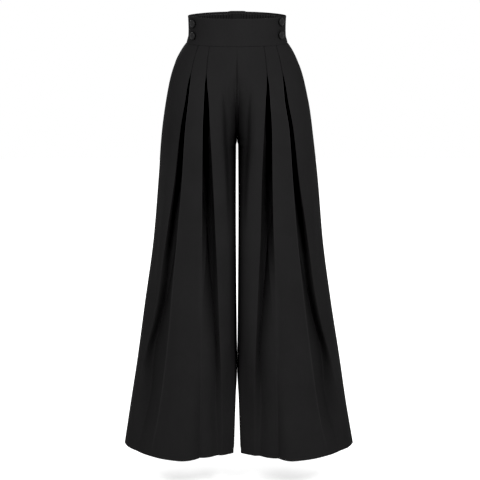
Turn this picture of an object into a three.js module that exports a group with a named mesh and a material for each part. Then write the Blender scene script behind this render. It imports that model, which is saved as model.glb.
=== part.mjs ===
// High-waisted palazzo pants, filled out as if worn, with no wearer in them.
// Millimetres, +Z up, the front faces -Y. Left and right are the wearer's: the left leg is at +X.
// The origin is the middle of the waist, half way up the waistband, where the wearer holds the garment.
// Pieces: a deep flat front waistband, an elastic gathered back waistband, two front legs with two
// released tucks each, two back legs, and four covered buttons on the sides of the front waistband.
import * as THREE from "three";

// Driving dimensions
const BAND_HALF_HEIGHT = 32;
const CROTCH_Z = -251;
const HEM_Z = -1032;
const SEAM_Y = 8;
const LEG_CLOTH = 1.8;
const BAND_CLOTH = 2.4;
const SEAM_GAP = 0.3;
const HALF_GAP = SEAM_GAP / 2;

// How far the back waistband's top stands above the front one, and the small peak at its centre
const BACK_RISE = 3;
const BACK_PEAK = 1.5;
const BACK_PEAK_HALF_WIDTH = 24;

// The waistband's half width and half depth by height
const BAND = [
  { z: -32, side: 120, depth: 87 },
  { z: -26, side: 117.5, depth: 86 },
  { z: -15, side: 114.5, depth: 85 },
  { z: 0, side: 114, depth: 84.5 },
  { z: 20, side: 114.5, depth: 85 },
  { z: 32, side: 116, depth: 86 },
  { z: 40, side: 116.5, depth: 86.5 },
];

// The outline below the waist. right and left are each side seam's distance from the centre plane.
// front and back are the furthest cloth, and frontCrest and backCrest how far out to the side that is.
const OUTLINE = [
  { z: -32, right: 120, left: 120, front: -87, back: 87, frontCrest: 0, backCrest: 0 },
  { z: -50, right: 131, left: 131, front: -91, back: 95, frontCrest: 2, backCrest: 8 },
  { z: -72, right: 143, left: 142, front: -96, back: 104, frontCrest: 6, backCrest: 20 },
  { z: -96, right: 152, left: 151, front: -101, back: 112, frontCrest: 14, backCrest: 34 },
  { z: -143, right: 164, left: 164, front: -108, back: 119, frontCrest: 34, backCrest: 44 },
  { z: -191, right: 173, left: 174, front: -112, back: 122, frontCrest: 52, backCrest: 52 },
  { z: -251, right: 181, left: 182, front: -115, back: 123, frontCrest: 68, backCrest: 60 },
  { z: -361, right: 190, left: 195, front: -118, back: 123, frontCrest: 80, backCrest: 72 },
  { z: -509, right: 204, left: 209, front: -120, back: 124, frontCrest: 92, backCrest: 88 },
  { z: -660, right: 226, left: 230, front: -122, back: 127, frontCrest: 104, backCrest: 106 },
  { z: -814, right: 248, left: 255, front: -123, back: 133, frontCrest: 116, backCrest: 124 },
  { z: -919, right: 265, left: 271, front: -124, back: 138, frontCrest: 124, backCrest: 136 },
  { z: -1032, right: 283, left: 291, front: -126, back: 144, frontCrest: 134, backCrest: 146 },
];

// The panels' inner edges: the rise seams above the crotch, the inseam below it. x is the distance from
// the centre plane, front and back the two edges' places along Y.
const INNER_EDGE = [
  { z: -32, x: 0.15, front: -87, back: 87 },
  { z: -60, x: 0.15, front: -92, back: 98 },
  { z: -100, x: 0.15, front: -96, back: 106 },
  { z: -140, x: 0.15, front: -96, back: 112 },
  { z: -170, x: 0.15, front: -91, back: 110 },
  { z: -195, x: 0.15, front: -80, back: 102 },
  { z: -215, x: 0.15, front: -64, back: 88 },
  { z: -230, x: 0.15, front: -47, back: 70 },
  { z: -241, x: 0.15, front: -30, back: 49 },
  { z: -248, x: 0.15, front: -14, back: 27 },
  { z: -251, x: 0.15, front: 2, back: 2 },
  { z: -275, x: 2.4, front: 3, back: 3 },
  { z: -320, x: 3.8, front: 5, back: 5 },
  { z: -434, x: 4.1, front: 7, back: 7 },
  { z: -609, x: 3.2, front: 9, back: 9 },
  { z: -700, x: 1.2, front: 10, back: 10 },
  { z: -775, x: 0.4, front: 10, back: 10 },
  { z: -845, x: 0.5, front: 10, back: 10 },
  { z: -900, x: 2.9, front: 10, back: 10 },
  { z: -1032, x: 7.5, front: 10, back: 10 },
];

// The tucks by height. in and out are the pressed edges of the panel between the two tucks, measured
// from the centre plane; each opens over its mouth, away from that panel, and goes in to its depth.
const RIGHT_TUCKS = [
  { z: -32, in: 64, inMouth: 1.6, inDepth: 0.7, out: 89, outMouth: 1.6, outDepth: 0.7 },
  { z: -60, in: 68.5, inMouth: 1.6, inDepth: 0.7, out: 98, outMouth: 1.6, outDepth: 0.7 },
  { z: -90, in: 71, inMouth: 1.6, inDepth: 0.8, out: 105, outMouth: 1.6, outDepth: 0.8 },
  { z: -99, in: 72, inMouth: 2, inDepth: 4, out: 107, outMouth: 2, outDepth: 3.5 },
  { z: -108, in: 73, inMouth: 3.6, inDepth: 15, out: 108, outMouth: 3.2, outDepth: 12 },
  { z: -124, in: 74.5, inMouth: 6, inDepth: 27, out: 110, outMouth: 4.8, outDepth: 22 },
  { z: -153, in: 76, inMouth: 10.5, inDepth: 36, out: 113, outMouth: 6.5, outDepth: 32 },
  { z: -223, in: 79, inMouth: 17, inDepth: 43, out: 121, outMouth: 11, outDepth: 40 },
  { z: -341, in: 81, inMouth: 25, inDepth: 46, out: 129, outMouth: 17, outDepth: 45 },
  { z: -461, in: 82, inMouth: 31, inDepth: 44, out: 140, outMouth: 25, outDepth: 44 },
  { z: -583, in: 83, inMouth: 38, inDepth: 38, out: 152, outMouth: 33, outDepth: 39 },
  { z: -707, in: 84, inMouth: 43, inDepth: 30, out: 163, outMouth: 46, outDepth: 31 },
  { z: -833, in: 85, inMouth: 48, inDepth: 22, out: 178, outMouth: 54, outDepth: 23 },
  { z: -922, in: 86, inMouth: 49, inDepth: 16, out: 191, outMouth: 56, outDepth: 16 },
  { z: -1032, in: 87, inMouth: 50, inDepth: 10, out: 214, outMouth: 52, outDepth: 8 },
];
const LEFT_TUCKS = [
  { z: -32, in: 63, inMouth: 1.6, inDepth: 0.7, out: 90, outMouth: 1.6, outDepth: 0.7 },
  { z: -60, in: 67, inMouth: 1.6, inDepth: 0.7, out: 98, outMouth: 1.6, outDepth: 0.7 },
  { z: -90, in: 70, inMouth: 1.6, inDepth: 0.8, out: 104, outMouth: 1.6, outDepth: 0.8 },
  { z: -99, in: 71, inMouth: 2, inDepth: 4, out: 106, outMouth: 2, outDepth: 3.5 },
  { z: -108, in: 72.5, inMouth: 3.4, inDepth: 15, out: 107, outMouth: 3, outDepth: 12 },
  { z: -124, in: 74.5, inMouth: 5.6, inDepth: 27, out: 108.5, outMouth: 4.6, outDepth: 22 },
  { z: -153, in: 76.5, inMouth: 9.5, inDepth: 36, out: 111, outMouth: 7, outDepth: 32 },
  { z: -223, in: 81, inMouth: 18, inDepth: 43, out: 122, outMouth: 9.5, outDepth: 39 },
  { z: -341, in: 83, inMouth: 25, inDepth: 45, out: 131, outMouth: 14.5, outDepth: 43 },
  { z: -461, in: 86, inMouth: 30, inDepth: 43, out: 141, outMouth: 23, outDepth: 43 },
  { z: -583, in: 91, inMouth: 38, inDepth: 38, out: 154, outMouth: 29, outDepth: 38 },
  { z: -707, in: 93, inMouth: 44, inDepth: 31, out: 169, outMouth: 37, outDepth: 31 },
  { z: -833, in: 93, inMouth: 49, inDepth: 23, out: 186, outMouth: 40, outDepth: 22 },
  { z: -922, in: 93.5, inMouth: 51, inDepth: 16, out: 200, outMouth: 45, outDepth: 16 },
  { z: -1032, in: 94, inMouth: 52, inDepth: 10, out: 225, outMouth: 42, outDepth: 8 },
];

// Where a tuck is deepest, as a share of its mouth from the soft lip, and how square the pressed side is
const TUCK_DEEPEST = 0.42;
const TUCK_SQUARENESS = 1.8;

// The cloth between the legs falls back behind a soft line each side of the centre seam.
const RISE_FOLD = [
  { z: -32, x: 40, depth: 0 },
  { z: -112, x: 38, depth: 0 },
  { z: -170, x: 35, depth: 4 },
  { z: -240, x: 32, depth: 8 },
  { z: -300, x: 26, depth: 3 },
  { z: -380, x: 20, depth: 0 },
  { z: -1032, x: 20, depth: 0 },
];
const RISE_FOLD_WIDTH = 9;

// How square the back legs turn in to their inner edges in plan, where 2 is an ellipse's corner
const BACK_SQUARENESS = 3;

// Soft falls of cloth down each back leg. at and width are shares of the panel's width from the inner
// edge, start is where the fold begins and depth what it reaches at the hem.
const BACK_FOLDS = {
  right: [
    { at: 0.24, width: 0.22, start: -150, depth: 17 },
    { at: 0.5, width: 0.24, start: -120, depth: 24 },
    { at: 0.77, width: 0.2, start: -170, depth: 16 },
  ],
  left: [
    { at: 0.27, width: 0.22, start: -140, depth: 20 },
    { at: 0.53, width: 0.22, start: -160, depth: 18 },
    { at: 0.79, width: 0.19, start: -120, depth: 20 },
  ],
};

// The back legs are gathered into the elastic and smooth out over the hips.
const BACK_LEG_GATHERS = 6;
const BACK_LEG_GATHER_DEPTH = [
  { z: -32, depth: 1 },
  { z: -52, depth: 2.4 },
  { z: -85, depth: 1.8 },
  { z: -150, depth: 0 },
  { z: -1032, depth: 0 },
];
const BACK_BAND_GATHERS = 44;
const BACK_BAND_GATHER_DEPTH = 1.3;
const PLAIN_TOP_STRIP = 6;
const FLAT_CENTRE_HALF_WIDTH = 7;

// Buttons: place round the side of the band, height, and the dent that the sewing pulls in the cloth
const BUTTON_X = 102;
const BUTTONS = [
  { name: "button_right_upper", side: -1, z: 16.5 },
  { name: "button_right_lower", side: -1, z: -12 },
  { name: "button_left_upper", side: 1, z: 21 },
  { name: "button_left_lower", side: 1, z: -10 },
];
const BUTTON_RADIUS = 8.6;
const BUTTON_SHANK_RADIUS = 2.6;
const BUTTON_SHANK_HEIGHT = 2.6;
const BUTTON_RIM_HEIGHT = 1.8;
const BUTTON_DOME_HEIGHT = 3.2;
const BUTTON_SIDES = 20;
const BUTTON_TURN_TO_FRONT = THREE.MathUtils.degToRad(9);
const BUTTON_CLEARANCE = 1.15;
const DENT_DEPTH = 2.6;
const DENT_RADIUS = 10;

// Mesh steps
const ROW_HEIGHTS = [
  -50, -70, -90, -99, -108, -124, -150, -178, -203, -225, -240, -248, -251, -262, -290, -335, -400, -480,
  -570, -660, -750, -840, -930,
];
const FRONT_STEPS = { inner: 8, inTuck: 6, middle: 5, outTuck: 6, side: 5 };
const BACK_STEPS = 24;
const BAND_SIDE_STEPS = 5;
const BAND_MIDDLE_STEPS = 34;
const BAND_FRONT_HEIGHTS = [26, 21, 16.5, 8, 0, -6, -11, -18, -25];
const STEPS_PER_GATHER = 4;
const CURVE_SAMPLES = 48;
const EVEN_STEPS_ABOVE = -45;
const TURNED_STEPS_BELOW = -190;

// Slopes of a smooth line through a table's column that never overshoots its rows
function slopesOf(table, key) {
  const rise = table.slice(1).map((row, i) => (row[key] - table[i][key]) / (row.z - table[i].z));
  return table.map((_, i) => {
    if (i === 0) return rise[0];
    if (i === rise.length) return rise[i - 1];
    const both = rise[i - 1] * rise[i];
    return both <= 0 ? 0 : (2 * both) / (rise[i - 1] + rise[i]);
  });
}

// A table's column at the height z, with both ends held
function at(table, key, z) {
  const falling = table[0].z > table[table.length - 1].z;
  const rows = falling ? [...table].reverse() : table;
  if (z <= rows[0].z) return rows[0][key];
  if (z >= rows[rows.length - 1].z) return rows[rows.length - 1][key];
  const i = rows.findIndex((row) => row.z > z) - 1;
  const slopes = slopesOf(rows, key);
  const span = rows[i + 1].z - rows[i].z;
  const t = (z - rows[i].z) / span;
  const rest = 1 - t;
  return (
    rows[i][key] * (1 + 2 * t) * rest * rest +
    rows[i + 1][key] * (3 - 2 * t) * t * t +
    span * t * rest * (slopes[i] * rest - slopes[i + 1] * t)
  );
}

function smooth(from, to, value) {
  return THREE.MathUtils.smoothstep(value, from, to);
}

// How far down the leg a height is: 0 at the crotch and above, 1 at the hem
function downLeg(z) {
  return THREE.MathUtils.clamp((z - CROTCH_Z) / (HEM_Z - CROTCH_Z), 0, 1);
}

// A quarter of a rounded corner in plan, from one point to another, as a list of points.
// It leaves along Y and arrives along X, and squareness 2 is an ellipse's.
function corner(from, to, squareness) {
  const points = [];
  for (let i = 0; i <= CURVE_SAMPLES; i++) {
    const turn = ((Math.PI / 2) * i) / CURVE_SAMPLES;
    const x = to.x + (from.x - to.x) * Math.pow(Math.max(Math.cos(turn), 0), 2 / squareness);
    const y = from.y + (to.y - from.y) * Math.pow(Math.sin(turn), 2 / squareness);
    points.push(new THREE.Vector2(x, y));
  }
  return points;
}

// A plan line with its length so far at each point
class PlanLine {
  constructor(points) {
    this.points = points;
    this.lengths = [0];
    for (let i = 1; i < points.length; i++)
      this.lengths.push(this.lengths[i - 1] + points[i].distanceTo(points[i - 1]));
    this.length = this.lengths[this.lengths.length - 1];
  }

  // The segment that holds a length, and how far along it
  place(length) {
    let i = 1;
    while (i < this.lengths.length - 1 && this.lengths[i] < length) i++;
    const span = this.lengths[i] - this.lengths[i - 1];
    return { i, t: span > 0 ? (length - this.lengths[i - 1]) / span : 0 };
  }

  point(length) {
    const { i, t } = this.place(length);
    return this.points[i - 1].clone().lerp(this.points[i], t);
  }

  // The length at a share of the line's points, and that share at a length
  lengthAtShare(share) {
    const whole = share * (this.points.length - 1);
    const i = Math.min(Math.floor(whole), this.points.length - 2);
    return THREE.MathUtils.lerp(this.lengths[i], this.lengths[i + 1], whole - i);
  }

  shareAtLength(length) {
    const { i, t } = this.place(length);
    return (i - 1 + t) / (this.points.length - 1);
  }

  // The direction at right angles to the line, towards the inside of the garment
  inward(length, turnSign) {
    const step = this.length / CURVE_SAMPLES;
    const before = this.point(Math.max(length - step, 0));
    const after = this.point(Math.min(length + step, this.length));
    const along = after.sub(before).normalize();
    return new THREE.Vector2(-along.y, along.x).multiplyScalar(turnSign);
  }

  // The length at which the line is x from the centre plane
  lengthAtX(x) {
    for (let i = 1; i < this.points.length; i++) {
      const low = this.points[i - 1].x;
      const high = this.points[i].x;
      if (high >= x && high > low)
        return this.lengths[i - 1] + ((this.lengths[i] - this.lengths[i - 1]) * Math.max(x - low, 0)) / (high - low);
    }
    return this.length;
  }
}

// One leg's plan line at a height, from its inner edge to its side seam, for x above 0
function legLine(leg, half, z) {
  const edge = new THREE.Vector2(at(INNER_EDGE, "x", z), at(INNER_EDGE, half, z));
  const away = half === "front" ? -1 : 1;
  const reach = at(OUTLINE, half, z);
  if (z > CROTCH_Z) edge.y = away * Math.min(Math.abs(edge.y), Math.abs(reach)) * Math.sign(edge.y * away);
  if (z <= CROTCH_Z) edge.y += away * HALF_GAP;
  const crestX = Math.max(at(OUTLINE, half + "Crest", z), edge.x + 0.05);
  const crest = new THREE.Vector2(crestX, reach);
  const side = new THREE.Vector2(at(OUTLINE, leg.key, z), SEAM_Y + away * HALF_GAP);
  const down = downLeg(z);
  const innerSquareness = half === "front" ? THREE.MathUtils.lerp(2, 4.2, down) : BACK_SQUARENESS;
  const sideSquareness = THREE.MathUtils.lerp(2, 1.55, down);
  const inner = corner(edge, crest, innerSquareness);
  const outer = corner(side, crest, sideSquareness).reverse();
  return new PlanLine([...inner, ...outer.slice(1)]);
}

// The length that lies a share of the way between two lengths of a leg's plan line. Near the waist the
// steps are even; below the hips they follow the turn of the corners, so that they stay in line down the leg.
function stepLength(line, from, to, share, z) {
  const even = THREE.MathUtils.lerp(from, to, share);
  const turned = THREE.MathUtils.lerp(line.shareAtLength(from), line.shareAtLength(to), share);
  return THREE.MathUtils.lerp(line.lengthAtShare(turned), even, smooth(TURNED_STEPS_BELOW, EVEN_STEPS_ABOVE, z));
}

// A tuck's depth across its mouth: 0 at the soft lip, 1 where it is deepest, 0 again at the pressed edge
function tuckShape(t) {
  if (t < TUCK_DEEPEST) return Math.pow(Math.sin(((Math.PI / 2) * t) / TUCK_DEEPEST), 2);
  return 1 - Math.pow((t - TUCK_DEEPEST) / (1 - TUCK_DEEPEST), TUCK_SQUARENESS);
}

// The rise fold's depth at a distance from the centre plane
function riseFold(x, z) {
  const line = at(RISE_FOLD, "x", z);
  return at(RISE_FOLD, "depth", z) * (1 - smooth(line - RISE_FOLD_WIDTH, line, x)) * smooth(0, 4, x);
}

// A row of a front leg: outer points from the inner edge to the side seam
function frontRow(leg, z) {
  const line = legLine(leg, "front", z);
  const inEdge = at(leg.tucks, "in", z);
  const outEdge = at(leg.tucks, "out", z);
  const stops = [
    0,
    line.lengthAtX(inEdge - at(leg.tucks, "inMouth", z)),
    line.lengthAtX(inEdge),
    line.lengthAtX(outEdge),
    line.lengthAtX(outEdge + at(leg.tucks, "outMouth", z)),
    line.length,
  ];
  const inDepth = at(leg.tucks, "inDepth", z);
  const outDepth = at(leg.tucks, "outDepth", z);
  const depths = [() => 0, (t) => inDepth * tuckShape(t), () => 0, (t) => outDepth * tuckShape(1 - t), () => 0];
  const row = [];
  Object.values(FRONT_STEPS).forEach((steps, part) => {
    for (let i = part === 0 ? 0 : 1; i <= steps; i++) {
      const t = i / steps;
      const length = stepLength(line, stops[part], stops[part + 1], t, z);
      const place = line.point(length);
      const depth = depths[part](t) + riseFold(place.x, z);
      row.push(place.addScaledVector(line.inward(length, 1), depth));
    }
  });
  return row.map((p) => new THREE.Vector3(leg.side * p.x, p.y, z));
}

// A row of a back leg, with its gathers and its soft folds
function backRow(leg, z) {
  const line = legLine(leg, "back", z);
  const row = [];
  for (let i = 0; i <= BACK_STEPS; i++) {
    const share = i / BACK_STEPS;
    const hold = smooth(0, 0.1, share) * smooth(0, 0.1, 1 - share);
    let depth = at(BACK_LEG_GATHER_DEPTH, "depth", z) * Math.sin(2 * Math.PI * BACK_LEG_GATHERS * share);
    for (const fold of BACK_FOLDS[leg.key]) {
      const across = Math.abs(share - fold.at) / (fold.width / 2);
      const grown = THREE.MathUtils.clamp((z - fold.start) / (HEM_Z - fold.start), 0, 1);
      if (across < 1) depth += fold.depth * grown * Math.pow(Math.cos((Math.PI / 2) * across), 2);
    }
    const length = stepLength(line, 0, line.length, share, z);
    const place = line.point(length).addScaledVector(line.inward(length, -1), depth * hold);
    row.push(new THREE.Vector3(leg.side * place.x, place.y, z));
  }
  return row;
}

// A closed wall from a grid of outer points. outSign turns the grid's normals outwards, and inwardAt may
// give the wall's own direction at an edge, where it has to lie in the seam's plane.
function wall(rows, thickness, outSign, inwardAt) {
  const lastRow = rows.length - 1;
  const lastColumn = rows[0].length - 1;
  const inner = rows.map((row, r) =>
    row.map((point, c) => {
      const across = rows[r][Math.min(c + 1, lastColumn)].clone().sub(rows[r][Math.max(c - 1, 0)]);
      const down = rows[Math.min(r + 1, lastRow)][c].clone().sub(rows[Math.max(r - 1, 0)][c]);
      const inward = across.cross(down).multiplyScalar(-outSign).normalize();
      const fixed = inwardAt(r, c, point);
      if (fixed) inward.copy(fixed);
      if (r === 0 || r === lastRow) inward.setZ(0).normalize();
      return point.clone().addScaledVector(inward, thickness);
    }),
  );
  const wide = lastColumn + 1;
  const count = (lastRow + 1) * wide;
  const outerAt = (r, c) => r * wide + c;
  const innerAt = (r, c) => count + r * wide + c;
  const index = [];
  const quad = (a, b, c, d) => {
    if (outSign > 0) index.push(a, b, c, a, c, d);
    else index.push(a, c, b, a, d, c);
  };
  for (let r = 0; r < lastRow; r++)
    for (let c = 0; c < lastColumn; c++) {
      quad(outerAt(r, c), outerAt(r, c + 1), outerAt(r + 1, c + 1), outerAt(r + 1, c));
      quad(innerAt(r, c), innerAt(r + 1, c), innerAt(r + 1, c + 1), innerAt(r, c + 1));
    }
  for (let c = 0; c < lastColumn; c++) {
    quad(outerAt(0, c + 1), outerAt(0, c), innerAt(0, c), innerAt(0, c + 1));
    quad(outerAt(lastRow, c), outerAt(lastRow, c + 1), innerAt(lastRow, c + 1), innerAt(lastRow, c));
  }
  for (let r = 0; r < lastRow; r++) {
    quad(outerAt(r, 0), outerAt(r + 1, 0), innerAt(r + 1, 0), innerAt(r, 0));
    quad(outerAt(r + 1, lastColumn), outerAt(r, lastColumn), innerAt(r, lastColumn), innerAt(r + 1, lastColumn));
  }
  const geometry = new THREE.BufferGeometry();
  geometry.setAttribute("position", new THREE.Float32BufferAttribute([...rows, ...inner].flat().flatMap((p) => [...p]), 3));
  geometry.setIndex(index);
  geometry.computeVertexNormals();
  return geometry;
}

// The inner and side edges of a leg panel lie in planes that hold their seams.
function legEdges(leg, lastColumn) {
  return (r, c, point) => {
    if (c === lastColumn) return new THREE.Vector3(-leg.side, 0, 0);
    if (c === 0 && point.z <= CROTCH_Z) return new THREE.Vector3(leg.side, 0, 0);
    return null;
  };
}

function legPanel(leg, half) {
  const heights = [-BAND_HALF_HEIGHT - HALF_GAP, ...ROW_HEIGHTS, HEM_Z];
  const rows = heights.map((z) => (half === "front" ? frontRow(leg, z) : backRow(leg, z)));
  const outSign = half === "front" ? -leg.side : leg.side;
  return wall(rows, LEG_CLOTH, outSign, legEdges(leg, rows[0].length - 1));
}

// The waistband's outer line at a height: half an ellipse, from the right side seam to the left one
function bandLine(z, away) {
  const sideX = at(BAND, "side", z);
  const depth = at(BAND, "depth", z);
  const seamY = SEAM_Y + away * HALF_GAP;
  const points = [];
  for (let i = 0; i <= 4 * CURVE_SAMPLES; i++) {
    const turn = Math.PI * (i / (4 * CURVE_SAMPLES) - 0.5);
    points.push(new THREE.Vector2(sideX * Math.sin(turn), seamY + (away * depth - seamY) * Math.cos(turn)));
  }
  return new PlanLine(points);
}

// Where a button sits on the undented band
function buttonSeat(button) {
  const sideX = at(BAND, "side", button.z);
  const reach = -at(BAND, "depth", button.z) - SEAM_Y;
  const y = SEAM_Y + reach * Math.sqrt(1 - Math.pow(BUTTON_X / sideX, 2));
  return new THREE.Vector3(button.side * BUTTON_X, y, button.z);
}

function dent(point) {
  let depth = 0;
  for (const button of BUTTONS)
    depth += DENT_DEPTH * Math.exp(-Math.pow(point.distanceTo(buttonSeat(button)) / DENT_RADIUS, 2));
  return depth;
}

function bandEdges(lastColumn) {
  return (r, c, point) => (c === 0 || c === lastColumn ? new THREE.Vector3(-Math.sign(point.x), 0, 0) : null);
}

function frontBand() {
  const heights = [BAND_HALF_HEIGHT, ...BAND_FRONT_HEIGHTS, -BAND_HALF_HEIGHT + HALF_GAP];
  const parts = [BAND_SIDE_STEPS, BAND_MIDDLE_STEPS, BAND_SIDE_STEPS];
  const rows = heights.map((z) => {
    const line = bandLine(z, -1);
    const stops = [0, line.lengthAtX(-BUTTON_X), line.lengthAtX(BUTTON_X), line.length];
    const row = [];
    parts.forEach((steps, part) => {
      for (let i = part === 0 ? 0 : 1; i <= steps; i++) {
        const length = THREE.MathUtils.lerp(stops[part], stops[part + 1], i / steps);
        const place = line.point(length);
        const depth = dent(new THREE.Vector3(place.x, place.y, z));
        place.addScaledVector(line.inward(length, 1), depth);
        row.push(new THREE.Vector3(place.x, place.y, z));
      }
    });
    return row;
  });
  return wall(rows, BAND_CLOTH, -1, bandEdges(rows[0].length - 1));
}

// The back band's top edge rises to the centre and has a small peak there.
function backTop(x) {
  const side = at(BAND, "side", BAND_HALF_HEIGHT);
  const rise = BACK_RISE * (1 - Math.pow(x / side, 2));
  return BAND_HALF_HEIGHT + rise + BACK_PEAK * (1 - smooth(BACK_PEAK_HALF_WIDTH * 0.6, BACK_PEAK_HALF_WIDTH, Math.abs(x)));
}

function backBand() {
  const steps = BACK_BAND_GATHERS * STEPS_PER_GATHER;
  const levels = [
    { depth: 0.15, z: (x) => backTop(x) },
    { depth: 1, z: (x) => backTop(x) - PLAIN_TOP_STRIP },
    { depth: 1, z: () => -BAND_HALF_HEIGHT + HALF_GAP },
  ];
  const rows = levels.map((level) => {
    const row = [];
    for (let i = 0; i <= steps; i++) {
      const share = i / steps;
      const middle = bandLine(0, 1);
      const z = level.z(middle.point(share * middle.length).x);
      const line = bandLine(z, 1);
      const place = line.point(share * line.length);
      const flat = smooth(FLAT_CENTRE_HALF_WIDTH, FLAT_CENTRE_HALF_WIDTH + 4, Math.abs(place.x));
      const hold = smooth(0, 0.03, share) * smooth(0, 0.03, 1 - share) * flat;
      const wave = Math.sin(2 * Math.PI * BACK_BAND_GATHERS * share + Math.PI / 4);
      const depth = BACK_BAND_GATHER_DEPTH * level.depth * wave * hold;
      place.addScaledVector(line.inward(share * line.length, -1), depth);
      row.push(new THREE.Vector3(place.x, place.y, z));
    }
    return row;
  });
  return wall(rows, BAND_CLOTH, 1, bandEdges(steps));
}

// A covered button's half section, from the end of its shank to the top of its dome
function buttonProfile() {
  const rimLow = BUTTON_SHANK_HEIGHT;
  const rimHigh = rimLow + BUTTON_RIM_HEIGHT;
  const points = [
    new THREE.Vector2(0, 0),
    new THREE.Vector2(BUTTON_SHANK_RADIUS, 0),
    new THREE.Vector2(BUTTON_SHANK_RADIUS, rimLow),
    new THREE.Vector2(BUTTON_RADIUS * 0.9, rimLow),
    new THREE.Vector2(BUTTON_RADIUS, rimHigh),
  ];
  for (const turn of [25, 50, 72])
    points.push(
      new THREE.Vector2(
        BUTTON_RADIUS * Math.cos(THREE.MathUtils.degToRad(turn)),
        rimHigh + BUTTON_DOME_HEIGHT * Math.sin(THREE.MathUtils.degToRad(turn)),
      ),
    );
  points.push(new THREE.Vector2(0, rimHigh + BUTTON_DOME_HEIGHT));
  return points;
}

// A button stands out from its dent, turned a little to the front
function placeButton(mesh, button) {
  const seat = buttonSeat(button);
  const sideX = at(BAND, "side", button.z);
  const reach = at(BAND, "depth", button.z) + SEAM_Y;
  const out = new THREE.Vector3(seat.x / sideX ** 2, (seat.y - SEAM_Y) / reach ** 2, 0).normalize();
  const foot = seat.clone().addScaledVector(out, BUTTON_CLEARANCE - DENT_DEPTH);
  out.applyAxisAngle(new THREE.Vector3(0, 0, 1), -button.side * BUTTON_TURN_TO_FRONT);
  mesh.position.copy(foot);
  mesh.quaternion.setFromUnitVectors(new THREE.Vector3(0, 1, 0), out);
}

const cloth = new THREE.MeshStandardMaterial({ color: 0x232222, roughness: 0.85, metalness: 0 });
const covered = new THREE.MeshStandardMaterial({ color: 0x302f30, roughness: 0.55, metalness: 0 });
const LEGS = [
  { key: "right", side: -1, tucks: RIGHT_TUCKS },
  { key: "left", side: 1, tucks: LEFT_TUCKS },
];

function named(name, geometry, material) {
  const mesh = new THREE.Mesh(geometry, material);
  mesh.name = name;
  return mesh;
}

const pants = new THREE.Group();
pants.add(named("waistband_front", frontBand(), cloth));
pants.add(named("waistband_back", backBand(), cloth));
for (const leg of LEGS) {
  pants.add(named(`front_leg_${leg.key}`, legPanel(leg, "front"), cloth));
  pants.add(named(`back_leg_${leg.key}`, legPanel(leg, "back"), cloth));
}
for (const button of BUTTONS) {
  const mesh = named(button.name, new THREE.LatheGeometry(buttonProfile(), BUTTON_SIDES), covered);
  placeButton(mesh, button);
  pants.add(mesh);
}

export default pants;
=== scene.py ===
"""High-waisted palazzo pants in charcoal crepe, filled out as worn with no wearer in them.

The sizes are in millimetres and become metres when a mesh is made. +Z is up, the front faces -Y and the
wearer's left leg is at +X. The origin is the middle of the waist, half way up the waistband.
"""

from __future__ import annotations

import logging
import math
import sys
from collections.abc import Sequence
from dataclasses import dataclass, field
from enum import Enum
from typing import Union

import bpy
import numpy as np
from mathutils import Matrix, Vector

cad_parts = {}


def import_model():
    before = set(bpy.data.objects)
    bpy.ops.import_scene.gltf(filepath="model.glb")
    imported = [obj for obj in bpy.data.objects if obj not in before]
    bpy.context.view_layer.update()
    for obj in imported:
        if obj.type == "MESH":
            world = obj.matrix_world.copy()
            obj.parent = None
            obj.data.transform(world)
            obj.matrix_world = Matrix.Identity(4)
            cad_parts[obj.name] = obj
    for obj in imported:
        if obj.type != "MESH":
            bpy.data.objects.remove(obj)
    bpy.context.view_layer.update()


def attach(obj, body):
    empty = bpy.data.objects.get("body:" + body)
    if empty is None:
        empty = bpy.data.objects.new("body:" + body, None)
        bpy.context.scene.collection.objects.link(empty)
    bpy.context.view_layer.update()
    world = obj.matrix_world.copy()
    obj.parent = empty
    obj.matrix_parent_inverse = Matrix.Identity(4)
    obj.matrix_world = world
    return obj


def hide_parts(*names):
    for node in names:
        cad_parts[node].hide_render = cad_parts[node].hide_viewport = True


LOG = logging.getLogger("palazzo_pants")
MM = 0.001
BODY = "root"

Socket = bpy.types.NodeSocket
Feed = Union[Socket, float, str, tuple]
Colour = tuple[float, float, float, float]

BAND_HALF_HEIGHT = 32.0
CROTCH_Z = -251.0
HEM_Z = -1032.0
# Where the side seams lie from front to back
SEAM_Y = 8.0
CURVE_SAMPLES = 72
SHARP_ANGLE = math.radians(70)
TINY = 1e-9

# The front's inner corner at the hem: how far it falls back behind the crest and how bent the way there is,
# its wall's share of the turn's points, and the heights between which the turn above passes into it
HEM_CORNER_BACK = 58.0
HEM_CORNER_POWER = 1.4
HEM_CORNER_SHARE = 0.3
HEM_CORNER_HEIGHTS = (-720.0, -1000.0)

# How square the turn to the side seam is at the crotch and at the hem, and how wide a turn is at least
OUTER_SQUARENESS = (2.0, 1.55)
LEAST_TURN = 0.05

# The heights between which the steps across a panel pass from following its corners to even ones
EVEN_STEPS_HEIGHTS = (-190.0, -45.0)


class Half(Enum):
    """The front or the back of the garment, by which way along Y it lies."""

    FRONT = -1
    BACK = 1


class Side(Enum):
    """The wearer's right or left, by which way along X it lies."""

    RIGHT = -1
    LEFT = 1


def smooth(low: float, high: float, value: np.ndarray) -> np.ndarray:
    """Return a soft step from 0 at low to 1 at high.

    Args:
        low: The value at which the step begins.
        high: The value at which it ends.
        value: Where to read it.

    Returns:
        The step's height at each value.
    """
    t = np.clip((np.asarray(value, dtype=float) - low) / (high - low), 0.0, 1.0)
    return t * t * (3.0 - 2.0 * t)


def mix(a: np.ndarray, b: np.ndarray, t: np.ndarray) -> np.ndarray:
    """Return the value that lies t of the way from a to b."""
    return a + (b - a) * t


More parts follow.
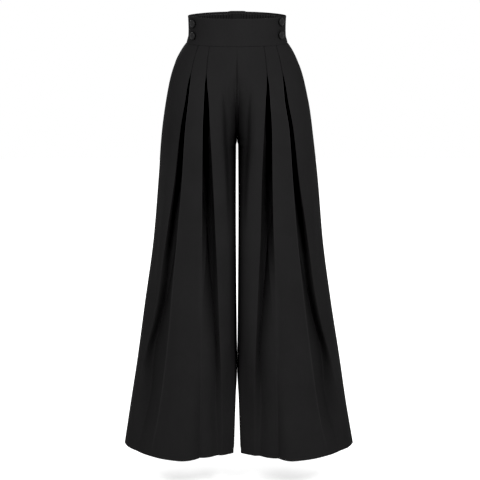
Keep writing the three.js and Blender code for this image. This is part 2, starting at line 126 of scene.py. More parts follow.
@dataclass(frozen=True)
class Table:
    """Sizes by height in named columns, joined by smooth lines that never overshoot a row."""

    columns: str
    rows: tuple[tuple[float, ...], ...]

    def at(self, column: str, z: np.ndarray) -> np.ndarray:
        """Return a column's size at each height, with both ends held.

        Args:
            column: The column's name.
            z: The heights.

        Returns:
            The sizes, one for each height.
        """
        data = np.array(sorted(self.rows))
        heights = data[:, 0]
        sizes = data[:, self.columns.split().index(column)]
        rise = np.diff(sizes) / np.diff(heights)
        both = rise[:-1] * rise[1:]
        total = rise[:-1] + rise[1:]
        inner = np.where(both > 0, 2 * both / np.where(total == 0, 1, total), 0.0)
        slopes = np.concatenate([rise[:1], inner, rise[-1:]])
        z = np.clip(np.asarray(z, dtype=float), heights[0], heights[-1])
        i = np.clip(np.searchsorted(heights, z, side="right") - 1, 0, len(heights) - 2)
        span = heights[i + 1] - heights[i]
        t = (z - heights[i]) / span
        rest = 1 - t
        return (
            sizes[i] * (1 + 2 * t) * rest * rest
            + sizes[i + 1] * (3 - 2 * t) * t * t
            + span * t * rest * (slopes[i] * rest - slopes[i + 1] * t)
        )


# The waistband's half width and half depth by height
BAND = Table(
    "z side depth",
    (
        (-32, 120, 87),
        (-26, 117.5, 86),
        (-15, 114.5, 85),
        (0, 114, 84.5),
        (20, 114.5, 85),
        (32, 116, 86),
        (40, 116.5, 86.5),
    ),
)

# The outline below the waist: each side seam's distance from the centre plane, the furthest cloth in
# front and behind, and how far out to the side that is
OUTLINE = Table(
    "z right left front back front_crest back_crest",
    (
        (-32, 120, 120, -87, 87, 0, 0),
        (-50, 131, 131, -91, 95, 2, 8),
        (-72, 143, 142, -96, 104, 6, 20),
        (-96, 152, 151, -101, 112, 14, 34),
        (-143, 164, 164, -108, 119, 34, 44),
        (-191, 173, 174, -112, 122, 52, 52),
        (-251, 181, 182, -115, 123, 68, 60),
        (-361, 190, 195, -118, 123, 80, 72),
        (-509, 204, 209, -120, 124, 92, 88),
        (-660, 226, 230, -122, 127, 104, 106),
        (-814, 248, 255, -123, 133, 116, 124),
        (-919, 265, 271, -124, 138, 124, 136),
        (-1032, 283, 291, -126, 144, 134, 146),
    ),
)

# The panels' inner edges: the rise seams above the crotch, the inseam below it
INNER_EDGE = Table(
    "z x front back",
    (
        (-32, 0, -87, 87),
        (-60, 0, -92, 98),
        (-100, 0, -96, 106),
        (-125, 0, -94, 110),
        (-150, 0, -85, 112),
        (-180, 0, -68, 107),
        (-205, 0, -53, 96),
        (-225, 0, -35, 76),
        (-240, 0, -17, 51),
        (-247, 0, -6, 27),
        (-251, 0, 2, 2),
        (-263, 0.05, 7, 7),
        (-274, 2.2, 8, 8),
        (-320, 2.5, 9, 9),
        (-434, 2.8, 10, 10),
        (-609, 1.9, 10, 10),
        (-700, 1.1, 10, 10),
        (-765, 0.5, 10, 10),
        (-802, 0.04, 10, 10),
        (-834, 0.04, 10, 10),
        (-862, 0.8, 10, 10),
        (-900, 2.8, 10, 10),
        (-1032, 7.4, 10, 10),
    ),
)

# The tucks by height. in and out are the pressed edges of the panel between the two tucks, from the
# centre plane. Each opens over its mouth, away from that panel, and goes in to its depth.
TUCK_COLUMNS = "z in in_mouth in_depth out out_mouth out_depth"
RIGHT_TUCKS = Table(
    TUCK_COLUMNS,
    (
        (-32, 64, 1.6, 1.1, 89, 2, 1.7),
        (-60, 68.5, 1.6, 1.3, 98, 2, 1.8),
        (-90, 71, 1.6, 1.4, 105, 2, 1.9),
        (-99, 72, 2, 4, 107, 2, 3.5),
        (-108, 73, 3.6, 15, 108, 3.2, 12),
        (-124, 74.5, 6, 27, 110, 4.8, 22),
        (-153, 76, 10.5, 36, 113, 6.5, 32),
        (-223, 79, 17, 41, 121, 11, 39),
        (-341, 81, 25, 42, 129, 17, 43),
        (-461, 82, 31, 37, 140, 25, 43),
        (-583, 84, 38, 31, 152, 33, 40),
        (-707, 85, 43, 25, 163, 46, 41),
        (-833, 86, 49, 19, 178, 62, 36),
        (-922, 86, 51, 13, 191, 65, 23),
        (-1032, 87, 52, 6, 214, 52, 2),
    ),
)
LEFT_TUCKS = Table(
    TUCK_COLUMNS,
    (
        (-32, 63, 1.6, 1.1, 90, 2, 1.7),
        (-60, 67, 1.6, 1.3, 98, 2, 1.8),
        (-90, 70, 1.6, 1.4, 104, 2, 1.9),
        (-99, 71, 2, 4, 106, 2, 3.5),
        (-108, 72.5, 3.4, 15, 107, 3, 12),
        (-124, 74.5, 5.6, 27, 108.5, 4.6, 22),
        (-153, 76.5, 9.5, 36, 111, 7, 32),
        (-223, 81, 18, 42, 122, 9.5, 38),
        (-341, 83, 25, 42, 131, 14.5, 42),
        (-461, 86, 30, 37, 141, 23, 42),
        (-583, 91, 40, 31, 154, 29, 39),
        (-707, 94, 48, 25, 169, 39, 40),
        (-833, 95, 53, 19, 186, 55, 36),
        (-922, 96, 55, 13, 200, 59, 23),
        (-1032, 97, 56, 6, 225, 48, 2),
    ),
)

# How bent a tuck's section is. The far side, the lip and the soft side each have a bend of their own where
# the tuck is folded flat, which it is by this share below the second height
TUCK_SQUARENESS = 1.8
TUCK_FOLDED_SQUARENESS = 1.0
TUCK_LIP_POWER = 1.9
TUCK_SOFT_POWER = 1.7
TUCK_FOLDS_FLAT = (-500.0, -640.0)
TUCK_FOLD = 0.35

# A tuck's section by height: the share of its mouth, from the soft lip, at which it is deepest; how far it
# runs in under the pressed edge; how softly the lip turns in; and how sharp the pressed edge still is
IN_TUCK_SECTION = Table(
    "z deepest under lip crisp",
    (
        (-32, 0.6, 0, 2, 1),
        (-99, 0.75, 0.3, 1.2, 1),
        (-124, 0.88, 3, 0.9, 1),
        (-223, 0.88, 6, 0.6, 1),
        (-341, 0.88, 7, 0.5, 1),
        (-401, 0.84, 6, 0.55, 1),
        (-522, 0.68, 2, 0.85, 1),
        (-644, 0.44, 0, 1.2, 0.85),
        (-765, 0.22, 0, 1.5, 0.7),
        (-1032, 0.2, 0, 2, 0.5),
    ),
)
OUT_TUCK_SECTION = Table(
    "z deepest under lip crisp",
    (
        (-32, 0.6, 0, 2, 1),
        (-99, 0.75, 0.3, 1.2, 1),
        (-124, 0.88, 3, 1, 1),
        (-223, 0.9, 6, 1, 1),
        (-401, 0.88, 6, 1.1, 1),
        (-522, 0.82, 3, 1.3, 1),
        (-644, 0.66, 0, 1.8, 1),
        (-765, 0.44, 0, 2, 1),
        (-886, 0.38, 0, 2, 0.9),
        (-1032, 0.38, 0, 2, 0.7),
    ),
)

# How much wider the space between the legs is in front than at the inner seams, by height
INNER_WALL_LEAN = Table(
    "z lean", ((-32, 0), (-262, 0), (-300, 4), (-700, 4), (-780, 0.5), (-850, 0.5), (-900, 3), (-1032, 3))
)

# How far the panel between the tucks rolls back towards the inner one, by height
SOFT_EDGE = Table("z depth", ((-32, 0), (-200, 0), (-420, 0.6), (-600, 2.5), (-765, 7), (-1032, 10)))

# The cloth between the legs falls back behind a soft line each side of the centre seam
RISE_FOLD = Table(
    "z x depth",
    (
        (-32, 40, 0),
        (-95, 38, 0.3),
        (-125, 37, 3),
        (-180, 34, 13),
        (-245, 32, 22),
        (-300, 29, 19),
        (-380, 26, 10),
        (-480, 23, 0),
        (-1032, 20, 0),
    ),
)
RISE_FOLD_WIDTH = 9.0

# How deep the back legs' gathers are below the elastic
BACK_LEG_GATHER_DEPTH = Table("z depth", ((-32, 1), (-52, 2.4), (-85, 1.8), (-150, 0), (-1032, 0)))
BACK_LEG_GATHERS = 6

# The smaller gathers between them, drawn up where the panel is sewn to the elastic
FINE_GATHER_DEPTH = Table(
    "z depth",
    ((-32, 0.7), (-42, 1.9), (-66, 2.3), (-105, 1.5), (-165, 0.6), (-250, 0), (-1032, 0)),
)
FINE_GATHERS = 15

# How square the turn from each panel's inner edge to its crest is
INNER_SQUARENESS = Table(
    "z front back",
    (
        (-32, 2, 3),
        (-120, 2, 3),
        (-190, 2.3, 3),
        (-240, 2.9, 3),
        (-265, 2.9, 3),
        (-300, 3.1, 3),
        (-360, 4, 3),
        (-450, 5.2, 3),
        (-700, 4.5, 3),
        (-1032, 3, 3),
    ),
)

# How sharp a crease is across its width, how much narrower its ends are and how soon they run out
CREASE_SHARPNESS = 0.42
CREASE_TAPER = 0.35
CREASE_RUN_OUT = 0.8

# How much a ripple's height varies down the panel, over what length, and how the waves differ in it
RIPPLE_SWELL = 0.4
RIPPLE_SWELL_LENGTH = 173.0
RIPPLE_SWELL_SHIFT = 2.1


@dataclass(frozen=True)
class Crease:
    """A soft trough that runs down a panel, or a ridge where its depth is below 0.

    x is the distance from the centre plane at each end, and bow how far the middle swings sideways.
    """

    top: float
    bottom: float
    x_top: float
    x_bottom: float
    width: float
    depth: float
    bow: float = 0.0

    def depth_at(self, x: np.ndarray, z: np.ndarray) -> np.ndarray:
        """Return how far in the crease pushes the cloth.

        Args:
            x: The places' distances from the centre plane.
            z: Their heights.

        Returns:
            The depth at each place.
        """
        t = np.clip((self.top - z) / (self.top - self.bottom), 0.0, 1.0)
        middle = mix(self.x_top, self.x_bottom, t) + self.bow * 4 * t * (1 - t)
        narrow = 1 - CREASE_TAPER + CREASE_TAPER * np.sin(np.pi * t)
        across = (x - middle) / (self.width * CREASE_SHARPNESS * narrow)
        return self.depth * np.exp(-across * across) * np.sin(np.pi * t) ** CREASE_RUN_OUT


@dataclass(frozen=True)
class HangingFold:
    """A soft fall of cloth that grows down to the hem; at and width are shares of the panel's width."""

    at: float
    width: float
    start: float
    depth: float

    def depth_at(self, share: np.ndarray, z: np.ndarray) -> np.ndarray:
        """Return how far in the fold pushes the cloth.

        Args:
            share: The places' shares of the way across the panel.
            z: Their heights.

        Returns:
            The depth at each place.
        """
        across = np.clip(np.abs(share - self.at) / (self.width / 2), 0.0, 1.0)
        grown = np.clip((z - self.start) / (HEM_Z - self.start), 0.0, 1.0)
        return self.depth * grown * np.cos(np.pi / 2 * across) ** 2


@dataclass(frozen=True)
class Ripple:
    """One of the small waves that hanging cloth has, by its length, height, slant and start."""

    length: float
    height: float
    slant: float
    phase: float

    def depth_at(self, along: np.ndarray, z: np.ndarray) -> np.ndarray:
        """Return how far in the wave pushes the cloth.

        Args:
            along: The places' lengths along the panel's rows.
            z: Their heights.

        Returns:
            The depth at each place.
        """
        turn = 2 * np.pi * (along + self.slant * z) / self.length + self.phase
        swell = np.sin(z / RIPPLE_SWELL_LENGTH + RIPPLE_SWELL_SHIFT * self.phase)
        return self.height * np.sin(turn) * (1 - RIPPLE_SWELL + RIPPLE_SWELL * swell)


RIPPLES = (
    Ripple(61, 0.42, 0.045, 0.3),
    Ripple(37, 0.2, -0.06, 1.9),
    Ripple(23, 0.09, 0.09, 4.2),
)

RIGHT_FRONT_CREASES = (
    Crease(-100, -345, 38, 20, 18, 4.4, -1.5),
    Crease(-120, -168, 17, 14, 9, 1.2),
    Crease(-60, -215, 150, 147, 34, -1.6, 2),
    Crease(-190, -640, 146, 198, 26, -2.6, -3),
    Crease(-300, -800, 178, 214, 26, 2.2, 3),
    Crease(-470, -900, 26, 16, 22, 1.6, 3),
    Crease(-560, -1030, 108, 124, 30, 1.6, 4),
    Crease(-640, -1030, 140, 172, 22, -1.4, -3),
    Crease(-945, -1026, 196, 203, 8, 1.2, 1),
    Crease(-960, -1028, 186, 192, 7, 1.1, -1),
)
LEFT_FRONT_CREASES = (
    Crease(-108, -350, 37, 21, 17, 4.2, 1.5),
    Crease(-105, -150, 21, 18, 9, 0.9),
    Crease(-58, -205, 152, 150, 32, -1.5, -2),
    Crease(-210, -600, 150, 196, 32, -2.8, 3),
    Crease(-340, -860, 184, 224, 26, 2.4, -3),
    Crease(-480, -920, 27, 18, 22, 1.5, -3),
    Crease(-520, -1030, 112, 132, 32, 1.6, -4),
    Crease(-660, -1030, 152, 186, 24, -1.4, 3),
    Crease(-940, -1026, 208, 217, 8, 1.2, -1),
    Crease(-962, -1028, 196, 204, 7, 1.1, 1),
)
RIGHT_BACK_CREASES = (
    Crease(-60, -260, 32, 40, 26, 2.2, 3),
    Crease(-90, -330, 96, 112, 30, 1.8, -4),
    Crease(-240, -330, 12, 62, 20, 2.6, 6),
    Crease(-262, -400, 16, 50, 22, 1.8, 5),
    Crease(-520, -1050, 186, 232, 30, 2.6, 4),
)
LEFT_BACK_CREASES = (
    Crease(-64, -270, 34, 44, 28, 2.0, -3),
    Crease(-84, -300, 98, 110, 30, 2.0, 4),
    Crease(-236, -322, 14, 58, 20, 2.4, 6),
    Crease(-266, -420, 18, 54, 22, 2.0, 4),
    Crease(-500, -1050, 190, 240, 30, 2.4, -4),
)
RIGHT_BACK_FOLDS = (
    HangingFold(0.24, 0.22, -150, 17),
    HangingFold(0.5, 0.24, -120, 24),
    HangingFold(0.77, 0.2, -170, 16),
)
LEFT_BACK_FOLDS = (
    HangingFold(0.27, 0.22, -140, 20),
    HangingFold(0.53, 0.22, -160, 18),
    HangingFold(0.79, 0.19, -120, 20),
)


@dataclass(frozen=True)
class Leg:
    """One leg's side of the garment and what is cut, pressed and folded into it."""

    side: Side
    tucks: Table
    front_creases: tuple[Crease, ...]
    back_creases: tuple[Crease, ...]
    back_folds: tuple[HangingFold, ...]

    @property
    def word(self) -> str:
        """Return the side's name in plain letters."""
        return self.side.name.lower()


LEGS = (
    Leg(Side.RIGHT, RIGHT_TUCKS, RIGHT_FRONT_CREASES, RIGHT_BACK_CREASES, RIGHT_BACK_FOLDS),
    Leg(Side.LEFT, LEFT_TUCKS, LEFT_FRONT_CREASES, LEFT_BACK_CREASES, LEFT_BACK_FOLDS),
)


def corner(start: tuple, end: tuple, squareness: np.ndarray) -> tuple[np.ndarray, np.ndarray]:
    """Return rounded quarter corners in plan, one for each height.

    Args:
        start: The corners' first x and y, which they leave along Y.
        end: The corners' last x and y, which they reach along X.
        squareness: 2 for an ellipse's corner, more for a squarer one.

    Returns:
        The x and y of each corner's points, a row for each height.
    """
    turn = np.linspace(0, np.pi / 2, CURVE_SAMPLES + 1)[None, :]
    power = (2 / squareness)[:, None]
    across = np.clip(np.cos(turn), 0, 1) ** power
    away = np.sin(turn) ** power
    x = end[0][:, None] + (start[0] - end[0])[:, None] * across
    y = start[1][:, None] + (end[1] - start[1])[:, None] * away
    return x, y


class PlanLines:
    """Plan lines, one for each height, with the length so far at each of their points."""

    def __init__(self, x: np.ndarray, y: np.ndarray) -> None:
        """Keep the lines' points and measure them.

        Args:
            x: The points' x, a row for each line.
            y: The points' y.
        """
        self.x = x
        self.y = y
        steps = np.hypot(np.diff(x, axis=1), np.diff(y, axis=1))
        self.lengths = np.concatenate([np.zeros((len(x), 1)), np.cumsum(steps, axis=1)], axis=1)
        self.total = self.lengths[:, -1]

    def _read(self, source: np.ndarray, target: np.ndarray, values: np.ndarray) -> np.ndarray:
        """Return, row by row, the target that goes with each value of the source."""
        pairs = zip(values, source, target)
        return np.array([np.interp(value, known, found) for value, known, found in pairs])

    def point(self, length: np.ndarray) -> tuple[np.ndarray, np.ndarray]:
        """Return the x and y at each length along the lines."""
        return self._read(self.lengths, self.x, length), self._read(self.lengths, self.y, length)

    def inward(self, length: np.ndarray, turn: int) -> tuple[np.ndarray, np.ndarray]:
        """Return the direction into the garment at lengths along the lines.

        Args:
            length: The lengths, a row for each line.
            turn: 1 where the inside lies to the left of the line's way, otherwise -1.

        Returns:
            The direction's x and y at each length.
        """
        step = self.total[:, None] / CURVE_SAMPLES
        x0, y0 = self.point(np.maximum(length - step, 0))
        x1, y1 = self.point(np.minimum(length + step, self.total[:, None]))
        size = np.hypot(x1 - x0, y1 - y0)
        return -(y1 - y0) / size * turn, (x1 - x0) / size * turn

    def length_at_x(self, x: np.ndarray) -> np.ndarray:
        """Return the length at which each line is x from the centre plane."""
        return self._read(self.x, self.lengths, x[:, None])

    def between(self, start: np.ndarray, end: np.ndarray, share: np.ndarray, z: np.ndarray) -> np.ndarray:
        """Return the lengths that lie a share of the way between two lengths of each line.

        The steps are even near the waist. Below the hips they follow the turn of the corners, so that
        the cloth's threads stay in line down the leg.

        Args:
            start: The first length on each line.
            end: The last one.
            share: The shares, from 0 to 1.
            z: The lines' heights.

        Returns:
            The lengths, a row for each line.
        """
        points = np.tile(np.linspace(0, 1, self.x.shape[1]), (len(self.x), 1))
        turned_start = self._read(self.lengths, points, start)
        turned_end = self._read(self.lengths, points, end)
        turned = self._read(points, self.lengths, mix(turned_start, turned_end, share))
        return mix(turned, mix(start, end, share), smooth(*EVEN_STEPS_HEIGHTS, z)[:, None])


def leg_lines(leg: Leg, half: Half, z: np.ndarray) -> PlanLines:
    """Return one leg panel's plan lines, from its inner edge to its side seam.

    Args:
        leg: The leg.
        half: Its front or its back.
        z: The heights.

    Returns:
        The lines, with x measured away from the centre plane.
    """
    word = half.name.lower()
    reach = OUTLINE.at(word, z)
    edge_x = INNER_EDGE.at("x", z)
    edge_y = INNER_EDGE.at(word, z)
    crest_x = np.maximum(OUTLINE.at(f"{word}_crest", z), edge_x + LEAST_TURN)
    side = OUTLINE.at(leg.word, z), np.full_like(z, SEAM_Y)
    down = np.clip((z - CROTCH_Z) / (HEM_Z - CROTCH_Z), 0, 1)
    inner_x, inner_y = corner((edge_x, edge_y), (crest_x, reach), INNER_SQUARENESS.at(word, z))
    if half is Half.FRONT:
        edge_x, edge_y, crest_x, reach = (size[:, None] for size in (edge_x, edge_y, crest_x, reach))
        share = np.linspace(0, 1, CURVE_SAMPLES + 1)[None, :]
        wall = np.clip(share / HEM_CORNER_SHARE, 0, 1)
        face = np.clip((share - HEM_CORNER_SHARE) / (1 - HEM_CORNER_SHARE), 0, 1)
        wall_y = mix(edge_y, reach + HEM_CORNER_BACK, wall)
        face_y = reach + HEM_CORNER_BACK * (1 - face) ** HEM_CORNER_POWER
        creased = smooth(*HEM_CORNER_HEIGHTS, z)[:, None]
        inner_x = mix(inner_x, mix(edge_x, crest_x, face), creased)
        inner_y = mix(inner_y, np.where(face > 0, face_y, wall_y), creased)
        ahead = np.clip((inner_y - edge_y) / np.minimum(reach - edge_y, -1), 0, 1)
        inner_x = np.maximum(inner_x, edge_x + INNER_WALL_LEAN.at("lean", z)[:, None] * ahead)
        crest_x, reach = crest_x[:, 0], reach[:, 0]
    outer_x, outer_y = corner(side, (crest_x, reach), mix(*OUTER_SQUARENESS, down))
    x = np.concatenate([inner_x, outer_x[:, ::-1][:, 1:]], axis=1)
    y = np.concatenate([inner_y, outer_y[:, ::-1][:, 1:]], axis=1)
    return PlanLines(x, y)


def band_lines(z: np.ndarray, half: Half) -> PlanLines:
    """Return the waistband's plan lines, half ellipses from the right side seam to the left one.

    Args:
        z: The heights.
        half: The front band or the back one.

    Returns:
        The lines.
    """
    turn = np.linspace(-np.pi / 2, np.pi / 2, 4 * CURVE_SAMPLES + 1)[None, :]
    x = BAND.at("side", z)[:, None] * np.sin(turn)
    y = SEAM_Y + (half.value * BAND.at("depth", z)[:, None] - SEAM_Y) * np.cos(turn)
    return PlanLines(x, y)


def tuck_shape(
    section: Table, share: np.ndarray, z: np.ndarray
) -> tuple[np.ndarray, np.ndarray, np.ndarray]:
    """Return a tuck's section as places across its mouth, with the depth and the lean of each.

    Args:
        section: The tuck's section by height.
        share: Even shares from 0 at the soft lip to 1 at the pressed edge.
        z: The heights.

    Returns:
        The shares of the mouth with the middle one at the deepest place, the depth from 0 to 1, and the
        shift towards the pressed edge in millimetres, a row for each height.
    """
    names = ("deepest", "crisp", "lip", "under")
    deepest, crisp, lip, under = (section.at(name, z)[:, None] for name in names)
    early = np.clip(share * 2, 0, 1)[None, :]
    beyond = np.clip(share * 2 - 1, 0, 1)[None, :]
    folded = TUCK_FOLD * smooth(*TUCK_FOLDS_FLAT, z)[:, None]
    rise = mix(np.sin(np.pi / 2 * early) ** lip, early**TUCK_LIP_POWER, folded)
    soft = mix(np.cos(np.pi / 2 * beyond) ** 2, (1 - beyond) ** TUCK_SOFT_POWER, folded)
    sharp = 1 - beyond ** mix(TUCK_SQUARENESS, TUCK_FOLDED_SQUARENESS, folded)
    places = deepest * early + (1 - deepest) * beyond
    shift = under * early**3 * (1 - beyond**2)
    return places, np.where(beyond > 0, mix(soft, sharp, crisp), rise), shift


def edge_roll(distance: np.ndarray, depth: float, reach: float) -> np.ndarray:
    """Return how far a seam pulls the cloth in at a distance from it."""
    return depth * (1 - np.clip(distance / reach, 0, 1)) ** 2


@dataclass(frozen=True)
class Shell:
    """A closed cloth wall made from a grid of outer points, in millimetres.

    outward is 1 where the grid's columns and rows turn right-handed about the outside, otherwise -1.
    seams holds the wall's own direction at the first and last column, where it lies in a seam's plane.
    The last field says how strongly a painted highlight lightens each place along the pressed edges, from 0
    to 1.
    """

    outer: np.ndarray
    thickness: np.ndarray
    outward: int
    seams: tuple[np.ndarray, np.ndarray]
    painted_highlight: np.ndarray | None = None

    def inner(self) -> np.ndarray:
        """Return the grid of inner points.

        Returns:
            The points, each straight in from its outer one by the wall's thickness there.
        """
        inward = -self.outward * np.cross(np.gradient(self.outer, axis=1), np.gradient(self.outer, axis=0))
        inward[[0, -1], :, 2] = 0
        inward /= np.maximum(np.linalg.norm(inward, axis=2, keepdims=True), TINY)
        for column, direction in zip((0, -1), self.seams):
            known = ~np.isnan(direction[:, 0])
            inward[known, column] = direction[known]
        return self.outer + inward * self.thickness[..., None]

    def build(self, name: str) -> bpy.types.Object:
        """Return the wall as an object with a UV map that runs with the cloth, in metres.

        Args:
            name: The object's name.

        Returns:
            The object, linked to the scene.
        """
        rows, columns = self.outer.shape[:2]
        near = np.arange(rows * columns).reshape(rows, columns)
        far = near + near.size
        faces = np.concatenate(
            [
                grid_faces(near),
                grid_faces(far)[:, [0, 3, 2, 1]],
                _quads(near[0, 1:], near[0, :-1], far[0, :-1], far[0, 1:]),
                _quads(near[-1, :-1], near[-1, 1:], far[-1, 1:], far[-1, :-1]),
                _quads(near[:-1, 0], near[1:, 0], far[1:, 0], far[:-1, 0]),
                _quads(near[1:, -1], near[:-1, -1], far[:-1, -1], far[1:, -1]),
            ]
        )
        if self.outward < 0:
            faces = faces[:, ::-1]
        points = np.concatenate([self.outer.reshape(-1, 3), self.inner().reshape(-1, 3)]) * MM
        steps = np.linalg.norm(np.diff(self.outer, axis=1), axis=2)
        along = np.concatenate([np.zeros((rows, 1)), np.cumsum(steps, axis=1)], axis=1)
        plan = np.stack([along, self.outer[..., 2]], axis=2).reshape(-1, 2) * MM
        obj = mesh_object(name, points, faces)
        lay_map(obj.data, np.tile(plan, (2, 1))[faces.ravel()])
        if self.painted_highlight is not None:
            write_values(obj.data, "painted_highlight", np.tile(self.painted_highlight.ravel(), 2))
        return obj


def _quads(*corners: np.ndarray) -> np.ndarray:
    """Return faces from their corners' index grids."""
    return np.stack([c.ravel() for c in corners], axis=1)


def grid_faces(grid: np.ndarray) -> np.ndarray:
    """Return the faces of a grid of point numbers."""
    return _quads(grid[:-1, :-1], grid[:-1, 1:], grid[1:, 1:], grid[1:, :-1])


def smooth_mesh(name: str, points: np.ndarray, faces: list[list[int]]) -> bpy.types.Mesh:
    """Return a smooth-shaded mesh.

    Args:
        name: The mesh's name.
        points: Its points, in metres.
        faces: Each face's point numbers.

    Returns:
        The mesh.
    """
    mesh = bpy.data.meshes.new(name)
    mesh.from_pydata(points.tolist(), [], faces)
    mesh.polygons.foreach_set("use_smooth", np.ones(len(mesh.polygons), dtype=bool))
    return mesh


def mesh_object(name: str, points: np.ndarray, faces: np.ndarray) -> bpy.types.Object:
    """Return a smooth-shaded mesh object, with its faces sharp only at steep edges.

    Args:
        name: The object's name.
        points: Its points, in metres.
        faces: Its faces, as rows of point numbers.

    Returns:
        The object, linked to the scene.
    """
    mesh = smooth_mesh(name, points, faces.tolist())
    mesh.set_sharp_from_angle(angle=SHARP_ANGLE)
    mesh.update()
    return placed(name, mesh)


def lay_map(mesh: bpy.types.Mesh, corners: np.ndarray) -> None:
    """Give a mesh its cloth map from a place for each corner of its faces, in metres."""
    mesh.uv_layers.new(name="cloth").data.foreach_set("uv", corners.ravel())


def write_values(mesh: bpy.types.Mesh, name: str, values: np.ndarray) -> None:
    """Write a number for each of a mesh's points under a name."""
    mesh.attributes.new(name, "FLOAT", "POINT").data.foreach_set("value", values)


def placed(name: str, data: bpy.types.ID) -> bpy.types.Object:
    """Return an object made from a mesh, a light or a camera.

    Args:
        name: The object's name.
        data: What it shows.

    Returns:
        The object, linked to the scene.
    """
    obj = bpy.data.objects.new(name, data)
    bpy.context.scene.collection.objects.link(obj)
    return obj


def spread(steps: int, pull: float) -> np.ndarray:
    """Return shares from 0 to 1, closer together at both ends by the pull, from 0 to 1."""
    even = np.linspace(0, 1, steps + 1)
    return mix(even, 0.5 - 0.5 * np.cos(np.pi * even), pull)


def grey(level: float, warmth: float = 1.0) -> Colour:
    """Return an opaque grey, turned a little from green by its warmth."""
    return (level, level * warmth, level, 1.0)


@dataclass(frozen=True)
class ClothFinish:
    """Charcoal woven crepe: a dark matt ground with a fine pebbled weave, with a painted highlight along its
    pressed edges.

    A noise is its scale, detail and roughness, and a relief its strength and its height in metres.
    """

    name: str = "charcoal_crepe"
    shade: float = 0.0086
    warmth: float = 0.98
    mottle: float = 0.1
    mottle_span: tuple[float, float] = (0.3, 0.7)
    clouds: tuple[float, float, float] = (9.0, 3.0, 0.55)
    cloud_share: float = 0.65
    slubs: tuple[float, float, float] = (1.0, 2.0, 0.5)
    slub_scale: tuple[float, float, float] = (900.0, 90.0, 1.0)
    # How much the painted highlight along the pressed edges lightens the colour
    edge_highlight: float = 0.4
    roughness: float = 0.85
    specular: float = 0.01
    thread_pitch: float = 0.00055
    weft_pitch: float = 1.15
    thread_share: float = 0.45
    pebbles: tuple[float, float, float] = (1 / 0.0011, 2.0, 0.6)
    bump: float = 0.35
    bump_height: float = 0.4
    crush: tuple[float, float, float] = (1 / 0.016, 3.0, 0.5)
    crush_relief: tuple[float, float] = (0.35, 0.0006)

    def material(self) -> bpy.types.Material:
        """Return the finish as a material that follows each piece's own cloth map.

        Returns:
            The material.
        """
        nodes = MaterialNodes(self.name)
        coords = nodes.node("ShaderNodeTexCoord").outputs
        uv, place = coords["UV"], coords["Object"]
        slub_place = nodes.node("ShaderNodeMapping", Vector=uv, Scale=self.slub_scale).outputs[0]
        slubs = nodes.noise(slub_place, self.slubs)
        tone = nodes.blend(nodes.noise(place, self.clouds), slubs, self.cloud_share)
        ends = tuple(grey(self.shade * (1 + step), self.warmth) for step in (-self.mottle, self.mottle))
        colour = nodes.ramp(tone, ends, self.mottle_span)
        # The colour is lightened along the pressed edges: a painted highlight
        painted_highlight = nodes.node("ShaderNodeAttribute")
        painted_highlight.attribute_name = "painted_highlight"
        highlight_gain = nodes.math("MULTIPLY_ADD", painted_highlight.outputs["Fac"], self.edge_highlight, 1.0)
        warp = nodes.threads(uv, "X", self.thread_pitch)
        weft = nodes.threads(uv, "Y", self.thread_pitch * self.weft_pitch)
        weave = nodes.math("MULTIPLY", warp, weft)
        fine = nodes.blend(weave, nodes.noise(uv, self.pebbles), self.thread_share)
        fine_relief = nodes.relief(fine, (self.bump, self.thread_pitch * self.bump_height))
        rumple = nodes.relief(nodes.noise(place, self.crush), self.crush_relief, fine_relief)
        return nodes.finish(
            Base_Color=nodes.scaled(colour, highlight_gain),
            Roughness=self.roughness,
            Specular_IOR_Level=self.specular,
            Normal=rumple,
        )


@dataclass(frozen=True)
class ThreadFinish:
    """Spun sewing thread, a little glossier than the cloth, with its twist in relief."""

    name: str = "charcoal_thread"
    shade: float = 0.014
    mottle: float = 0.3
    roughness: float = 0.5
    sheen: float = 0.2
    fibres: tuple[float, float, float] = (1 / 0.0004, 2.0, 0.6)
    relief: tuple[float, float] = (0.4, 0.0001)

    def material(self) -> bpy.types.Material:
        """Return the finish as a material.

        Returns:
            The material.
        """
        nodes = MaterialNodes(self.name)
        fibres = nodes.noise(nodes.node("ShaderNodeTexCoord").outputs["Object"], self.fibres)
        ends = grey(self.shade * (1 - self.mottle)), grey(self.shade * (1 + self.mottle))
        return nodes.finish(
            Base_Color=nodes.ramp(fibres, ends),
            Roughness=self.roughness,
            Sheen_Weight=self.sheen,
            Normal=nodes.relief(fibres, self.relief),
        )


@dataclass(frozen=True)
class FloorFinish:
    """A plain pale studio floor, lit a little from within, with a barely uneven surface."""

    name: str = "pale_floor"
    shade: float = 0.6
    mottle: float = 0.01
    clouds: tuple[float, float, float] = (2.0, 2.0, 0.5)
    roughness: float = 0.9
    specular: float = 0.1
    glow: float = 0.62

    def material(self) -> bpy.types.Material:
        """Return the finish as a material.

        Returns:
            The material.
        """
        nodes = MaterialNodes(self.name)
        clouds = nodes.noise(nodes.node("ShaderNodeTexCoord").outputs["Object"], self.clouds)
        return nodes.finish(
            Base_Color=nodes.ramp(clouds, (grey(self.shade * (1 - self.mottle)), grey(self.shade))),
            Roughness=self.roughness,
            Specular_IOR_Level=self.specular,
            Emission_Color=grey(1.0),
            Emission_Strength=self.glow,
        )


